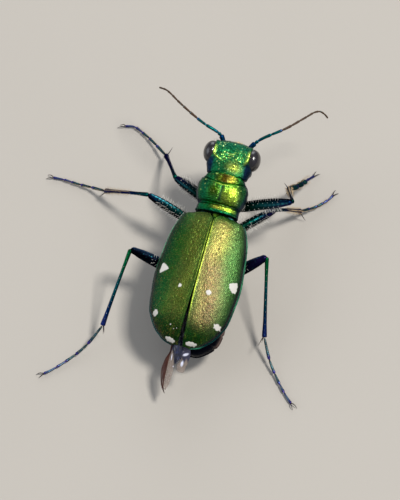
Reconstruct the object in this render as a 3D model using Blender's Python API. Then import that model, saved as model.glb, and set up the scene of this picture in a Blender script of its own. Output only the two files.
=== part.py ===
"""A six-spotted tiger beetle at life size, standing still on its six feet.

The beetle faces +Y with its head raised. Sizes are in millimetres until a mesh is made.

Two frames are used. The body frame has x to the beetle's right, v forward along the body and w up
from the margin of the wing cases, with its origin at the base of the wing cases. The standing
frame has the same x, y forward and z up from the floor, under the same origin.
"""
from dataclasses import dataclass

import bmesh
import bpy
import numpy as np
from mathutils import Matrix, Vector

MM = 0.001                      # metres in a millimetre
GAP = 0.3                       # between neighbouring nodes
CLOSE_GAP = 0.24                # round a piece that sits in a socket of its neighbour
SLIVER = 0.004                  # edges shorter than this are closed up

# stance
BODY_PITCH = np.radians(12.0)   # head end up
BODY_HEIGHT = 4.1               # wing-case margin above the floor, at the base of the cases
SOLE_HEIGHT = 0.14              # axis of a foot above the floor
FOOT_RADIUS = 0.25

# wing cases
CASE_FRONT = -0.1
CASE_REAR = -7.88
CASE_LENGTH = CASE_FRONT - CASE_REAR
CASE_THICKNESS = 0.5
CASE_SPREAD = 0.08              # how much farther apart the cases are at the rear than in front
CASE_SQUARENESS = 2.25          # 2 is an elliptical dome, more is boxier
SCUTELLUM_HALF_WIDTH = 0.24
SCUTELLUM_LENGTH = 0.36

# folded flight wings
WING_THICKNESS = 0.4
VEIN_HEIGHT = 0.08
VEIN_WIDTH = 0.09

# head
EYE_PLACE = (1.12, 3.5, 0.0)
EYE_RADII = (0.52, 0.64, 0.6)
EYE_ROOT = 0.98                 # distance of an eye's flat root from the middle of the head
MOUTH_PLACE = (4.0, -1.1)       # v and w of the middle of the face's lower end
MOUTH_DROP = np.radians(65.0)   # the way the mouth points, below the body's axis

# antennae, in the standing frame, for the right side
ANTENNA_RADIUS = 0.25
ANTENNA_TIP_RADIUS = 0.12
ANTENNA_SEGMENTS = 11
ANTENNA_RIGHT = ((0.95, 4.46, 4.78), (1.94, 5.26, 5.15), (2.57, 5.78, 5.2),
                 (3.39, 6.82, 5.0), (3.95, 7.6, 4.55), (4.4, 7.68, 3.85))
ANTENNA_LEFT = ((-0.9, 4.5, 4.85), (-1.79, 4.78, 5.15), (-2.6, 5.15, 5.2),
                (-3.75, 5.9, 5.05), (-4.6, 6.6, 4.7), (-5.15, 6.95, 4.2))

# legs
COXA_RADIUS = 0.4
COXA_INWARDS = 0.45             # how far the hip piece reaches into the body from the hip
COXA_OUTWARDS = 0.3
FEMUR_KNEE_RADIUS = 0.26
TIBIA_RADIUS = 0.25
TARSUS_TIP_RADIUS = 0.18
CLAW_LENGTH = 0.5
CLAW_RADIUS = 0.13
SPUR_LENGTH = 0.62
SPUR_SETBACK = 0.4              # of a spur's root from the shin's end
SPUR_SPLAY = np.radians(44.0)   # of a spur from the shin
SPUR_RADIUS = 0.12
SPIKE_TIP = 0.04                # radius at the point of a spur or claw

METAL_GREEN = (0.05, 0.33, 0.08, 1.0)
DEEP_GREEN = (0.02, 0.12, 0.07, 1.0)
BLUE_BLACK = (0.01, 0.03, 0.06, 1.0)
IVORY = (0.62, 0.55, 0.38, 1.0)
SMOKE_BROWN = (0.13, 0.07, 0.04, 1.0)
EYE_BROWN = (0.04, 0.035, 0.035, 1.0)


@dataclass(frozen=True)
class Leg:
    """One leg: its hip in the body frame, its other joints in the standing frame."""

    name: str
    hip: tuple
    femur_radius: float
    knee: tuple
    ankle: tuple
    bend: tuple
    foot: tuple


LEGS = (
    Leg("front_left", (-0.66, 0.95, -1.35), 0.33,
        (-3.01, 2.46, 2.6), (-4.16, 4.72, 0.6), (-5.4, 5.6, 0.28), (-7.28, 6.1, SOLE_HEIGHT)),
    Leg("front_right", (0.66, 0.95, -1.35), 0.33,
        (3.9, 1.84, 4.2), (3.19, 3.83, 1.8), (3.76, 4.95, 0.62), (4.27, 6.08, SOLE_HEIGHT)),
    Leg("middle_left", (-0.85, -0.6, -1.4), 0.33,
        (-4.17, 0.93, 2.8), (-6.84, 1.57, 0.8), (-8.6, 1.8, 0.28), (-10.39, 1.96, SOLE_HEIGHT)),
    Leg("middle_right", (0.85, -0.6, -1.4), 0.33,
        (2.94, 1.84, 2.8), (4.01, 3.2, 0.7), (4.85, 4.0, 0.28), (5.55, 5.22, SOLE_HEIGHT)),
    Leg("hind_left", (-0.8, -3.6, -1.3), 0.36,
        (-4.15, -2.9, 3.3), (-4.71, -6.85, 1.1), (-5.75, -8.45, 0.3), (-7.56, -10.4, SOLE_HEIGHT)),
    Leg("hind_right", (0.8, -3.6, -1.3), 0.36,
        (3.3, -1.42, 3.3), (4.16, -5.18, 1.0), (5.2, -6.85, 0.3), (6.81, -8.64, SOLE_HEIGHT)),
)
CARVED_BY = {"prothorax": ("front",), "pterothorax": ("middle", "hind"), "abdomen": ("hind",)}


# Curves and frames

def through(keys, values, at):
    """Read a smooth curve through every key, which never swings past them, at the places asked."""
    keys = np.asarray(keys, float)
    values = np.asarray(values, float).reshape(len(keys), -1)
    at = np.asarray(at, float)
    chord = np.diff(values, axis=0) / np.diff(keys)[:, None]
    same_way = chord[:-1] * chord[1:] > 0
    total = np.where(same_way, chord[:-1] + chord[1:], 1.0)
    inner = np.where(same_way, 2 * chord[:-1] * chord[1:] / total, 0.0)
    slope = np.vstack([chord[:1], inner, chord[-1:]])
    low = np.clip(np.searchsorted(keys, at, side="right") - 1, 0, len(keys) - 2)
    width = (keys[low + 1] - keys[low])[:, None]
    u = (at - keys[low])[:, None] / width
    return (values[low] * (2 * u**3 - 3 * u**2 + 1)
            + values[low + 1] * (3 * u**2 - 2 * u**3)
            + slope[low] * width * (u**3 - 2 * u**2 + u)
            + slope[low + 1] * width * (u**3 - u**2))


def smooth_path(points, count):
    """Evenly spread points on a smooth curve through a few points in space."""
    points = np.asarray(points, float)
    steps = np.linalg.norm(np.diff(points, axis=0), axis=1)
    keys = np.concatenate([[0.0], np.cumsum(steps)])
    return through(keys, points, np.linspace(0.0, keys[-1], count))


def standing(points):
    """Turn points of the body frame into the standing frame: pitch the head up, then lift."""
    points = np.asarray(points, float)
    sine, cosine = np.sin(BODY_PITCH), np.cos(BODY_PITCH)
    x, v, w = points[..., 0], points[..., 1], points[..., 2]
    return np.stack([x, v * cosine - w * sine, v * sine + w * cosine + BODY_HEIGHT], axis=-1)


def mouth_point(x, forward, up):
    """A point of the mouth's frame, in the body frame: forward runs down along the face."""
    v = MOUTH_PLACE[0] + forward * np.cos(MOUTH_DROP) + up * np.sin(MOUTH_DROP)
    w = MOUTH_PLACE[1] - forward * np.sin(MOUTH_DROP) + up * np.cos(MOUTH_DROP)
    return (x, v, w)


def unit(vector):
    """The vector at a length of one."""
    vector = np.asarray(vector, float)
    return vector / np.linalg.norm(vector)


# Meshes

def make_material(name, colour, metallic, roughness):
    """A plain Principled finish."""
    material = bpy.data.materials.new(name)
    material.use_nodes = True
    shader = material.node_tree.nodes["Principled BSDF"]
    shader.inputs["Base Color"].default_value = colour
    shader.inputs["Metallic"].default_value = metallic
    shader.inputs["Roughness"].default_value = roughness
    material.diffuse_color = colour
    return material


def add_object(name, mesh):
    """Put a mesh in the beetle's collection as an object."""
    body = bpy.data.objects.new(name, mesh)
    bpy.data.collections["tiger_beetle"].objects.link(body)
    return body


def ring_solid(name, rings):
    """A closed solid through rings of points, in the standing frame, with a fan at each end."""
    count, around = rings.shape[:2]
    points = np.concatenate([rings.reshape(-1, 3), rings[:1].mean(axis=1), rings[-1:].mean(axis=1)])
    ring, place = np.meshgrid(np.arange(count - 1), np.arange(around), indexing="ij")
    a = (ring * around + place).ravel()
    b = (ring * around + (place + 1) % around).ravel()
    sides = np.concatenate([np.stack([a, b, b + around], 1), np.stack([a, b + around, a + around], 1)])
    here = np.arange(around)
    after = (here + 1) % around
    first = np.stack([after, here, np.full(around, count * around)], 1)
    last_ring = (count - 1) * around
    last = np.stack([last_ring + here, last_ring + after, np.full(around, count * around + 1)], 1)
    mesh = bpy.data.meshes.new(name)
    mesh.from_pydata((points * MM).tolist(), [], np.concatenate([sides, first, last]).tolist())
    face_outwards(mesh)
    return add_object(name, mesh)


def face_outwards(mesh):
    """Weld a mesh's doubles and point its faces out."""
    work = bmesh.new()
    work.from_mesh(mesh)
    bmesh.ops.remove_doubles(work, verts=work.verts, dist=0.002 * MM)
    bmesh.ops.recalc_face_normals(work, faces=work.faces)
    work.to_mesh(mesh)
    work.free()


def tube(name, points, radii, roundness=2):
    """A mesh tube along points of the standing frame, from a bevelled curve with a radius a point."""
    curve = bpy.data.curves.new(name, "CURVE")
    curve.dimensions = "3D"
    curve.bevel_depth = MM
    curve.bevel_resolution = roundness
    curve.use_fill_caps = True
    spline = curve.splines.new("POLY")
    spline.points.add(len(points) - 1)
    for spot, point, radius in zip(spline.points, points, radii):
        spot.co = (*(np.asarray(point) * MM), 1.0)
        spot.radius = radius
    drawn = bpy.data.objects.new(name, curve)
    bpy.context.scene.collection.objects.link(drawn)
    bpy.context.view_layer.update()
    mesh = bpy.data.meshes.new_from_object(drawn.evaluated_get(bpy.context.evaluated_depsgraph_get()))
    bpy.data.objects.remove(drawn)
    bpy.data.curves.remove(curve)
    face_outwards(mesh)
    return add_object(name, mesh)


def limb(name, path, base_radius, tip_radius, swell=0.0, count=9, roundness=2):
    """A tube with rounded ends along a smooth path, tapered, and swollen at a third of its length."""
    along = np.linspace(0.0, 1.0, count)
    radii = base_radius + (tip_radius - base_radius) * along + swell * np.sin(np.pi * along**0.7)
    points = smooth_path(path, count)
    start, end = unit(points[1] - points[0]), unit(points[-1] - points[-2])
    start_rise, end_rise = 0.3 * base_radius, 0.3 * tip_radius
    points = np.vstack([points[:1], points[:1] + start * start_rise, points[1:-1],
                        points[-1:] - end * end_rise, points[-1:]])
    radii = np.concatenate([[0.72 * radii[0]], radii[:1], radii[1:-1], radii[-1:], [0.72 * radii[-1]]])
    return tube(name, points, radii, roundness)


def spike(name, path, radius):
    """A pointed spur, claw or tooth along a smooth path."""
    count = 5
    along = np.linspace(0.0, 1.0, count)
    return tube(name, smooth_path(path, count), radius + (SPIKE_TIP - radius) * along, roundness=1)


def ellipsoid(name, centre, radii, segments=20, rings=12):
    """An ellipsoid whose axes are those of the pitched body, with its centre in the body frame."""
    bpy.ops.mesh.primitive_uv_sphere_add(segments=segments, ring_count=rings, radius=1.0)
    ball = bpy.context.active_object
    ball.name = name
    for owner in list(ball.users_collection):
        owner.objects.unlink(ball)
    bpy.data.collections["tiger_beetle"].objects.link(ball)
    place = Matrix.Translation(Vector(standing(centre)) * MM)
    turn = Matrix.Rotation(BODY_PITCH, 4, "X")
    size = Matrix.Diagonal((*(np.asarray(radii) * MM), 1.0))
    ball.data.transform(place @ turn @ size)
    return ball


def keep_largest(mesh):
    """Close up slivers and keep only the closed surface of a mesh that holds the most."""
    work = bmesh.new()
    work.from_mesh(mesh)
    bmesh.ops.remove_doubles(work, verts=work.verts, dist=SLIVER * MM)
    bmesh.ops.dissolve_degenerate(work, edges=work.edges, dist=SLIVER * MM)
    bmesh.ops.triangulate(work, faces=work.faces)
    left = set(work.verts)
    shells = []
    while left:
        shell, front = set(), [left.pop()]
        while front:
            vertex = front.pop()
            shell.add(vertex)
            for edge in vertex.link_edges:
                other = edge.other_vert(vertex)
                if other in left:
                    left.remove(other)
                    front.append(other)
        shells.append(shell)

    def volume(shell):
        faces = {face for vertex in shell for face in vertex.link_faces}
        corners = [[loop.vert.co for loop in face.loops] for face in faces]
        return sum(a.dot(b.cross(c)) for a, b, c in corners) / 6

    shells.sort(key=volume)
    for shell in shells[:-1]:
        bmesh.ops.delete(work, geom=list(shell), context="VERTS")
    work.to_mesh(mesh)
    work.free()


def combine(target, others, operation):
    """Join solids to the target (UNION) or cut them from it (DIFFERENCE), and remove them."""
    group = bpy.data.collections.new("cutters")
    for other in others:
        group.objects.link(other)
    change = target.modifiers.new("Combine", "BOOLEAN")
    change.operation = operation
    change.solver = "EXACT"
    change.operand_type = "COLLECTION"
    change.collection = group
    bpy.context.view_layer.update()
    mesh = bpy.data.meshes.new_from_object(target.evaluated_get(bpy.context.evaluated_depsgraph_get()))
    target.modifiers.remove(change)
    target.data = mesh
    for other in others:
        bpy.data.objects.remove(other)
    bpy.data.collections.remove(group)
    keep_largest(mesh)
    return target


def cut_flat(body, place, direction):
    """Cut a solid at a plane through a place, in metres, and keep what lies along the direction."""
    work = bmesh.new()
    work.from_mesh(body.data)
    geometry = work.verts[:] + work.edges[:] + work.faces[:]
    cut = bmesh.ops.bisect_plane(work, geom=geometry, plane_co=place, plane_no=direction,
                                 clear_inner=True, dist=0.001 * MM)
    rim = [item for item in cut["geom_cut"] if isinstance(item, bmesh.types.BMEdge)]
    bmesh.ops.contextual_create(work, geom=rim)
    bmesh.ops.recalc_face_normals(work, faces=work.faces)
    work.to_mesh(body.data)
    work.free()
    keep_largest(body.data)


# Body

def body_rings(stations, count, around, squareness, waist=0.5, shape=None):
    """Rings across the body, from a few stations of place v, half width, top and bottom.

    Each ring is a superellipse, widest at the waist's share of its height. A shape function may
    then move its points up or down.
    """
    stations = np.asarray(stations, float)
    keys = stations[:, 0]
    if keys[0] > keys[-1]:
        stations, keys = stations[::-1], keys[::-1]
    at = keys[0] + (keys[-1] - keys[0]) * (0.5 - 0.5 * np.cos(np.pi * np.linspace(0, 1, count)))
    half, top, bottom = through(keys, stations[:, 1:], at).T[:, :, None]
    angle = np.linspace(0, 2 * np.pi, around, endpoint=False)[None, :]
    power = 2 / squareness
    across = np.sign(np.cos(angle)) * np.abs(np.cos(angle)) ** power
    rise = np.sign(np.sin(angle)) * np.abs(np.sin(angle)) ** power
    x = half * across
    middle = bottom + waist * (top - bottom)
    w = middle + np.where(rise > 0, top - middle, middle - bottom) * rise
    v = at[:, None] + 0 * x
    if shape is not None:
        w = w + shape(x, v, w, rise)
    return np.stack([x, v, w], axis=-1)


def ridge(distance, width):
    """A soft bump of height one that fades over the width."""
    return np.exp(-(distance / width) ** 2)


def build_prothorax():
    """The neck shield: a front lobe, a two-lobed disc with a middle line, and a rear lobe."""
    stations = ((0.30, 1.08, 0.42, -0.72), (0.38, 1.20, 0.58, -0.92), (0.55, 1.20, 0.62, -0.98),
                (0.85, 1.35, 0.80, -1.02), (1.20, 1.44, 0.88, -1.05), (1.55, 1.44, 0.84, -1.02),
                (1.85, 1.33, 0.70, -0.93), (2.08, 1.22, 0.66, -0.84), (2.24, 1.10, 0.46, -0.66))
    rear_groove, front_groove, groove_width = 0.55, 1.68, 0.1
    groove_bow = 0.2
    groove_depth, line_depth, line_width = 0.12, 0.07, 0.16

    def grooves(x, v, w, rise):
        upper = np.clip(rise, 0, 1) ** 0.5
        front = v - front_groove - groove_bow * x**2
        across = ridge(v - rear_groove, groove_width) + ridge(front, groove_width)
        disc = ridge(v - (rear_groove + front_groove) / 2, 0.6)
        return -upper * (groove_depth * across + line_depth * disc * ridge(x, line_width))

    return ring_solid("prothorax", standing(body_rings(stations, 22, 30, 2.3, shape=grooves)))


def build_pterothorax():
    """The body under the front of the wing cases, with the small shield between their corners."""
    stations = ((0.0, 1.0, -0.28, -1.0), (-0.3, 1.55, -0.25, -1.2), (-1.2, 1.82, -0.25, -1.32),
                (-2.4, 1.98, -0.25, -1.36), (-3.25, 1.95, -0.25, -1.32), (-3.4, 1.82, -0.3, -1.22))
    body = ring_solid("pterothorax", standing(body_rings(stations, 12, 26, 2.6)))
    along = np.linspace(0, 1, 4)
    half = SCUTELLUM_HALF_WIDTH * (1 - 0.85 * along)
    v = CASE_FRONT - SCUTELLUM_LENGTH * along
    top = 0.42 + 0.35 * along
    foot = -0.6
    corners = [np.stack([side * half, v, height + 0 * v], axis=-1)
               for side, height in ((-1, foot), (1, foot), (1, top), (0, top + 0.06), (-1, top))]
    shield = ring_solid("scutellum", standing(np.stack(corners, axis=1)))
    return combine(body, [shield], "UNION")


def build_abdomen():
    """The ringed abdomen, hollowed a little near its tip where the folded wings leave the cases."""
    stations = ((-3.7, 1.82, -0.3, -1.2), (-3.85, 2.0, -0.25, -1.33), (-5.0, 2.08, -0.25, -1.4),
                (-6.2, 2.02, -0.25, -1.45), (-7.2, 1.62, -0.27, -1.5), (-7.95, 1.0, -0.36, -1.52),
                (-8.3, 0.62, -0.7, -1.5), (-8.5, 0.35, -1.0, -1.42))
    segment, ring_depth, bed_half_width = 0.8, 0.05, 1.4
    swing_start, tail_swing = -5.8, 0.07

    def shape(x, v, w, rise):
        rings = ring_depth * np.clip(-rise, 0, 1) * np.cos(2 * np.pi * (v + 3.7) / segment)
        wing_floor = wing_middle(v) - WING_THICKNESS / 2 - GAP
        bed = np.clip(2 - np.abs(x) / bed_half_width, 0, 1)
        return rings - np.where(rise > 0, bed * np.clip(w - wing_floor, 0, None), 0.0)

    rings = body_rings(stations, 24, 30, 2.5, 0.35, shape)
    rings[..., 0] += tail_swing * np.clip(swing_start - rings[..., 1], 0, None) ** 2
    return ring_solid("abdomen", standing(rings))


def case_rings(side):
    """Cross sections of one wing case, a shell with a domed back and an edge that turns down.

    The back runs from the seam to the margin along a superellipse, and the inner wall comes back
    along a smaller one, so that each section is a closed loop.
    """
    share = (0.0, 0.026, 0.06, 0.15, 0.34, 0.5, 0.69, 0.78, 0.85, 0.9, 0.94, 0.97, 1.0)
    half_width = (1.32, 1.78, 1.92, 2.1, 2.34, 2.43, 2.32, 2.19, 1.94, 1.68, 1.38, 1.08, 0.6)
    rise_share = (0.0, 0.04, 0.12, 0.3, 0.6, 0.8, 0.92, 1.0)
    rise_values = (0.5, 0.76, 0.98, 1.14, 1.2, 1.05, 0.76, 0.44)
    rows, outer_points, inner_points = 22, 11, 7
    even = np.linspace(0, 1, rows)
    along = even + 0.12 * np.sin(2 * np.pi * even) / (2 * np.pi) - 0.1 * even * (1 - even)
    half = through(share, half_width, along)
    rise = through(rise_share, rise_values, along)
    notch_depth = along * CASE_LENGTH / (2.2 * SCUTELLUM_LENGTH)
    notch = (SCUTELLUM_HALF_WIDTH + GAP) * np.clip(1 - notch_depth, 0, 1)[:, None]
    seam = np.maximum(GAP / 2 + CASE_SPREAD * along[:, None] ** 2, notch)
    power = 2 / CASE_SQUARENESS

    def arc(width, height, count):
        turn = np.linspace(0, np.pi / 2, count)[None, :]
        return seam + width * np.sin(turn) ** power, height * np.cos(turn) ** power

    outer_x, outer_w = arc(half - seam, rise, outer_points)
    inner_x, inner_w = arc(np.maximum(half - seam - CASE_THICKNESS, 0.12),
                           np.maximum(rise - CASE_THICKNESS, 0.08), inner_points)
    x = side * np.concatenate([outer_x, inner_x[:, ::-1]], axis=1)
    w = np.concatenate([outer_w, inner_w[:, ::-1]], axis=1)
    v = CASE_FRONT - CASE_LENGTH * along[:, None] + 0 * x
    return np.stack([x, v, w], axis=-1)


def wing_middle(v):
    """Height of the middle of the folded flight wings, which dip under the tips of the cases."""
    keys = (-10.6, -9.4, -8.2, -7.3, -6.4, -5.2, -1.0)
    heights = (-1.0, -0.8, -0.6, -0.47, -0.15, 0.14, 0.14)
    v = np.asarray(v, float)
    return through(keys, heights, v.ravel()).reshape(v.shape)


def build_wing(name, side, stations):
    """One folded flight wing: a long blade with its main veins raised as ridges on its back."""
    stations = np.asarray(stations, float)[::-1]
    rows, points = 15, 9
    v = np.linspace(stations[0, 0], stations[-1, 0], rows)
    inner, outer = through(stations[:, 0], stations[:, 1:], v).T[:, :, None]
    share = np.linspace(0, 1, points)[None, :]
    x = inner + (outer - inner) * share
    thickness = WING_THICKNESS * through((-10.6, -9.0, -8.0, -1.0), (0.45, 0.85, 1.0, 1.0), v)
    veins = sum(ridge(share - place, VEIN_WIDTH) for place in (0.12, 0.5, 0.88))
    middle = wing_middle(v)[:, None]
    fade = np.clip(np.minimum(v - v[0], v[-1] - v) / 0.5, 0, 1)[:, None]
    top = middle + thickness / 2 - VEIN_HEIGHT * fade * (1 - veins)
    bottom = middle - thickness / 2 + 0 * x
    loop_x = side * np.concatenate([x, x[:, ::-1]], axis=1)
    loop_w = np.concatenate([top, bottom], axis=1)
    loop_v = v[:, None] + 0 * loop_x
    return ring_solid(name, standing(np.stack([loop_x, loop_v, loop_w], axis=-1)))


# Head

def head_relief(x, along):
    """How far the crown stands up or sinks, over x and the way from the neck, 0, to the mouth, 5.

    A ridge runs along the inner edge of each eye with the brow between them a little hollow, and a
    furrow crosses the face between the brow and the lip's plate.
    """
    eye_ridges = 0.07 * ridge(np.abs(x) - 0.66, 0.16) * ridge(along - 2.6, 0.9)
    hollow = 0.05 * ridge(x, 0.4) * ridge(along - 2.9, 0.8)
    furrow = 0.05 * ridge(along - 4.2, 0.18)
    return eye_ridges - hollow - furrow


def build_head():
    """The head capsule, which curves down from the neck to the mouth, with a socket for each eye."""
    middle = ((2.54, -0.06), (2.85, -0.08), (3.2, -0.12), (3.6, -0.27), (3.85, -0.57), (3.95, -0.95))
    drop = np.radians((3.0, 6.0, 12.0, 32.0, 54.0, 66.0))
    half_width = (1.0, 1.22, 1.16, 1.08, 0.95, 0.64)
    top = (0.42, 0.62, 0.7, 0.74, 0.54, 0.36)
    bottom = (0.52, 0.72, 0.8, 0.75, 0.58, 0.4)
    rows, around, squareness = 21, 36, 2.6
    keys = np.arange(len(middle))
    at = np.linspace(0, keys[-1], rows)
    v_mid, w_mid = through(keys, middle, at).T[:, :, None]
    angle = through(keys, drop, at)
    half, up, down = (through(keys, column, at) for column in (half_width, top, bottom))
    turn = np.linspace(0, 2 * np.pi, around, endpoint=False)[None, :]
    power = 2 / squareness
    x = half * np.sign(np.cos(turn)) * np.abs(np.cos(turn)) ** power
    height = np.sign(np.sin(turn)) * np.abs(np.sin(turn)) ** power
    height = np.where(height > 0, up + head_relief(x, at[:, None]), down) * height
    v = v_mid + height * np.sin(angle)
    w = w_mid + height * np.cos(angle)
    head = ring_solid("head", standing(np.stack([x, v, w], axis=-1)))
    sockets = [eye_cap("socket", side, CLOSE_GAP) for side in (-1, 1)]
    return combine(head, sockets, "DIFFERENCE")


def eye_cap(name, side, margin):
    """The outer part of an eye's ellipsoid, which bulges from a flat root, made larger by a margin."""
    cap = ellipsoid(name, (side * EYE_PLACE[0], *EYE_PLACE[1:]), np.asarray(EYE_RADII) + margin, 22, 13)
    cut_flat(cap, (side * (EYE_ROOT - margin) * MM, 0, 0), (side, 0, 0))
    return cap


def build_eye(name, side):
    """A bulging eye."""
    return eye_cap(name, side, 0.0)


def build_labrum():
    """The pale upper lip, a plate with three blunt teeth along its edge."""
    half_width, length, thickness, teeth = 0.58, 0.6, 0.42, 3
    across = np.linspace(-1, 1, 13)
    edge = length * (0.8 + 0.2 * np.abs(np.cos(teeth * np.pi / 2 * across)))
    back, crown = 0.16, 0.1

    def rim(forward, up):
        return np.stack(mouth_point(half_width * across, forward, up), axis=-1)

    lift = crown * (1 - across**2) + 0.08
    rings = np.stack([rim(back + 0 * edge, 0.02 + lift - crown), rim(back + edge, 0.1 + lift - crown),
                      rim(back + edge, 0.1 + lift + thickness * 0.7 - crown),
                      rim(back + 0 * edge, 0.02 + lift + thickness)], axis=1)
    return ring_solid("labrum", standing(rings))


def build_mandible(name, side):
    """A sickle-shaped jaw with two teeth on its inner edge."""
    path = [(0.6, 0.2, -0.46), (0.84, 0.75, -0.42), (0.66, 1.2, -0.4), (0.19, 1.42, -0.4)]
    count = 9
    points = smooth_path([standing(mouth_point(side * x, f, u)) for x, f, u in path], count)
    along = np.linspace(0, 1, count)
    radii = 0.25 - 0.2 * along**2
    jaw = tube(name, points, radii)
    teeth = []
    for root in (3, 5):
        inward = unit(points[root] * (1, 0, 0)) * -0.42
        teeth.append(spike("tooth", (points[root], points[root] + inward * (1, 1, 1)), 0.14))
    return combine(jaw, teeth, "UNION")


def build_palp(name, side, path, radius):
    """A jointed feeler of the mouth."""
    points = [standing(mouth_point(side * x, f, u)) for x, f, u in path]
    return limb(name, points, radius, 0.12, count=7)


def build_antenna(name, path):
    """An antenna of eleven segments, a little swollen towards the end of each."""
    steps = 2 * ANTENNA_SEGMENTS + 1
    along = np.linspace(0, 1, steps)
    taper = ANTENNA_RADIUS + (ANTENNA_TIP_RADIUS - ANTENNA_RADIUS) * along**1.5
    swell = np.where(np.arange(steps) % 2 == 0, 1.0, 0.86)
    radii = taper * swell
    radii[-1] *= 0.6
    return tube(name, smooth_path(path, steps), radii)


# Legs

def joint_clearance(before, after, radius):
    """How far along a limb its near end is set off, to clear the limb before it by the gap."""
    cosine = np.dot(unit(before), unit(after))
    sine = np.sqrt(1 - cosine**2)
    if cosine > 0:
        return GAP + radius * sine
    return (GAP + radius * (1 - 0.8 * cosine)) / sine


def leg_points(leg):
    """The hip, knee and ankle of a leg in the standing frame, and where its limbs start."""
    hip, knee, ankle = standing(leg.hip), np.asarray(leg.knee), np.asarray(leg.ankle)
    thigh, shin = unit(knee - hip), unit(ankle - knee)
    out = unit(np.asarray(leg.bend) - ankle)
    thigh_start = hip + thigh * (COXA_OUTWARDS + GAP)
    shin_start = knee + shin * joint_clearance(thigh, shin, FEMUR_KNEE_RADIUS)
    foot_start = ankle + out * joint_clearance(shin, out, TIBIA_RADIUS)
    return hip, knee, ankle, thigh_start, shin_start, foot_start


def build_coxa(leg):
    """The hip piece that the leg turns in, sunk in the body's underside."""
    hip, knee = leg_points(leg)[:2]
    thigh = unit(knee - hip)
    ends = (hip - thigh * COXA_INWARDS, hip, hip + thigh * COXA_OUTWARDS)
    return limb("coxa_" + leg.name, ends, COXA_RADIUS, COXA_RADIUS, count=4)


def leg_room(leg):
    """A solid wider than the leg's root by the gap, which clears a way for it through the body."""
    hip, knee = leg_points(leg)[:2]
    thigh = unit(knee - hip)
    ends = (hip - thigh * (COXA_INWARDS + CLOSE_GAP), hip + thigh * 2.6)
    return tube("leg_room", ends, np.full(2, COXA_RADIUS + CLOSE_GAP), roundness=3)


def build_femur(leg):
    """The thigh, thickest a little past its root."""
    _, knee, _, start, _, _ = leg_points(leg)
    return limb("femur_" + leg.name, (start, (start + knee) / 2, knee), leg.femur_radius - 0.04,
                FEMUR_KNEE_RADIUS, swell=0.04, count=8, roundness=3)


def build_tibia(leg):
    """The shin, with the two spurs at its end fused on."""
    _, _, ankle, _, start, _ = leg_points(leg)
    along = unit(ankle - start)
    name = "tibia_" + leg.name
    shin = limb(name, (start, (start + ankle) / 2, ankle), TIBIA_RADIUS, TIBIA_RADIUS, count=7)
    sideways = unit(np.cross(along, (0, 0, 1)))
    spurs = []
    for side in (-1, 1):
        root = ankle - along * SPUR_SETBACK + side * sideways * 0.08
        out = along * np.cos(SPUR_SPLAY) + side * sideways * np.sin(SPUR_SPLAY)
        spurs.append(spike("spur", (root, root + out * SPUR_LENGTH), SPUR_RADIUS))
    return combine(shin, spurs, "UNION")


def build_tarsus(leg):
    """The foot, which comes down to the floor and ends in two claws, with a flat sole."""
    _, _, _, _, _, start = leg_points(leg)
    name = "tarsus_" + leg.name
    foot = np.asarray(leg.foot)
    path = (start, leg.bend, (np.asarray(leg.bend) * (1, 1, 0) + foot * (1, 1, 2)) / 2, foot)
    toe = limb(name, path, FOOT_RADIUS, TARSUS_TIP_RADIUS, count=12)
    ahead = unit((foot - np.asarray(leg.bend)) * (1, 1, 0))
    sideways = np.array([-ahead[1], ahead[0], 0.0])
    root = foot - ahead * 0.12
    claws = []
    for side in (-1, 1):
        middle = root + ahead * 0.4 * CLAW_LENGTH + side * sideways * 0.45 * CLAW_LENGTH
        tip = root + ahead * CLAW_LENGTH + side * sideways * 0.55 * CLAW_LENGTH
        tip[2] = 0.08
        claws.append(spike("claw", (root, middle, tip), CLAW_RADIUS))
    combine(toe, claws, "UNION")
    cut_flat(toe, (0, 0, 0), (0, 0, 1))
    return toe


# Assembly

def clear_scene():
    """Empty the file and make the beetle's collection."""
    for item in list(bpy.data.objects):
        bpy.data.objects.remove(item)
    bpy.context.scene.collection.children.link(bpy.data.collections.new("tiger_beetle"))


def build_body():
    """Everything but the legs, as lists of objects by finish."""
    wings = {
        "hindwing_left": (-1, ((-2.2, 0.17, 0.9), (-3.0, 0.16, 1.2), (-5.5, 0.16, 1.28),
                               (-7.3, 0.16, 1.0), (-8.5, 0.16, 0.85), (-9.7, 0.2, 0.8),
                               (-10.2, 0.22, 0.62), (-10.4, 0.26, 0.42))),
        "hindwing_right": (1, ((-2.2, 0.17, 0.9), (-3.0, 0.16, 1.2), (-5.5, 0.16, 1.28),
                               (-7.3, 0.16, 1.0), (-8.4, 0.16, 0.72), (-9.0, 0.18, 0.54),
                               (-9.2, 0.2, 0.44))),
    }
    palps = {
        "maxillary_palp": (((0.9, -0.33, -0.95), (1.1, 0.4, -1.15), (1.0, 1.15, -0.98)), 0.22),
        "labial_palp": (((0.3, -0.15, -0.88), (0.36, 0.5, -1.12), (0.38, 1.05, -1.02)), 0.2),
    }
    green = [build_head(), build_prothorax()]
    dark = [build_pterothorax(), build_abdomen()]
    eyes, pale, smoky = [], [build_labrum()], []
    for word, side in (("left", -1), ("right", 1)):
        green.append(ring_solid("elytron_" + word, standing(case_rings(side))))
        smoky.append(build_wing("hindwing_" + word, *wings["hindwing_" + word]))
        eyes.append(build_eye("eye_" + word, side))
        pale.append(build_mandible("mandible_" + word, side))
        dark.append(build_antenna("antenna_" + word, ANTENNA_LEFT if side < 0 else ANTENNA_RIGHT))
        for palp, (path, radius) in palps.items():
            dark.append(build_palp(palp + "_" + word, side, path, radius))
    return green, dark, eyes, pale, smoky


def build_legs():
    """The pieces of all six legs."""
    pieces = []
    for leg in LEGS:
        pieces += [build_coxa(leg), build_femur(leg), build_tibia(leg), build_tarsus(leg)]
    return pieces


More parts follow.
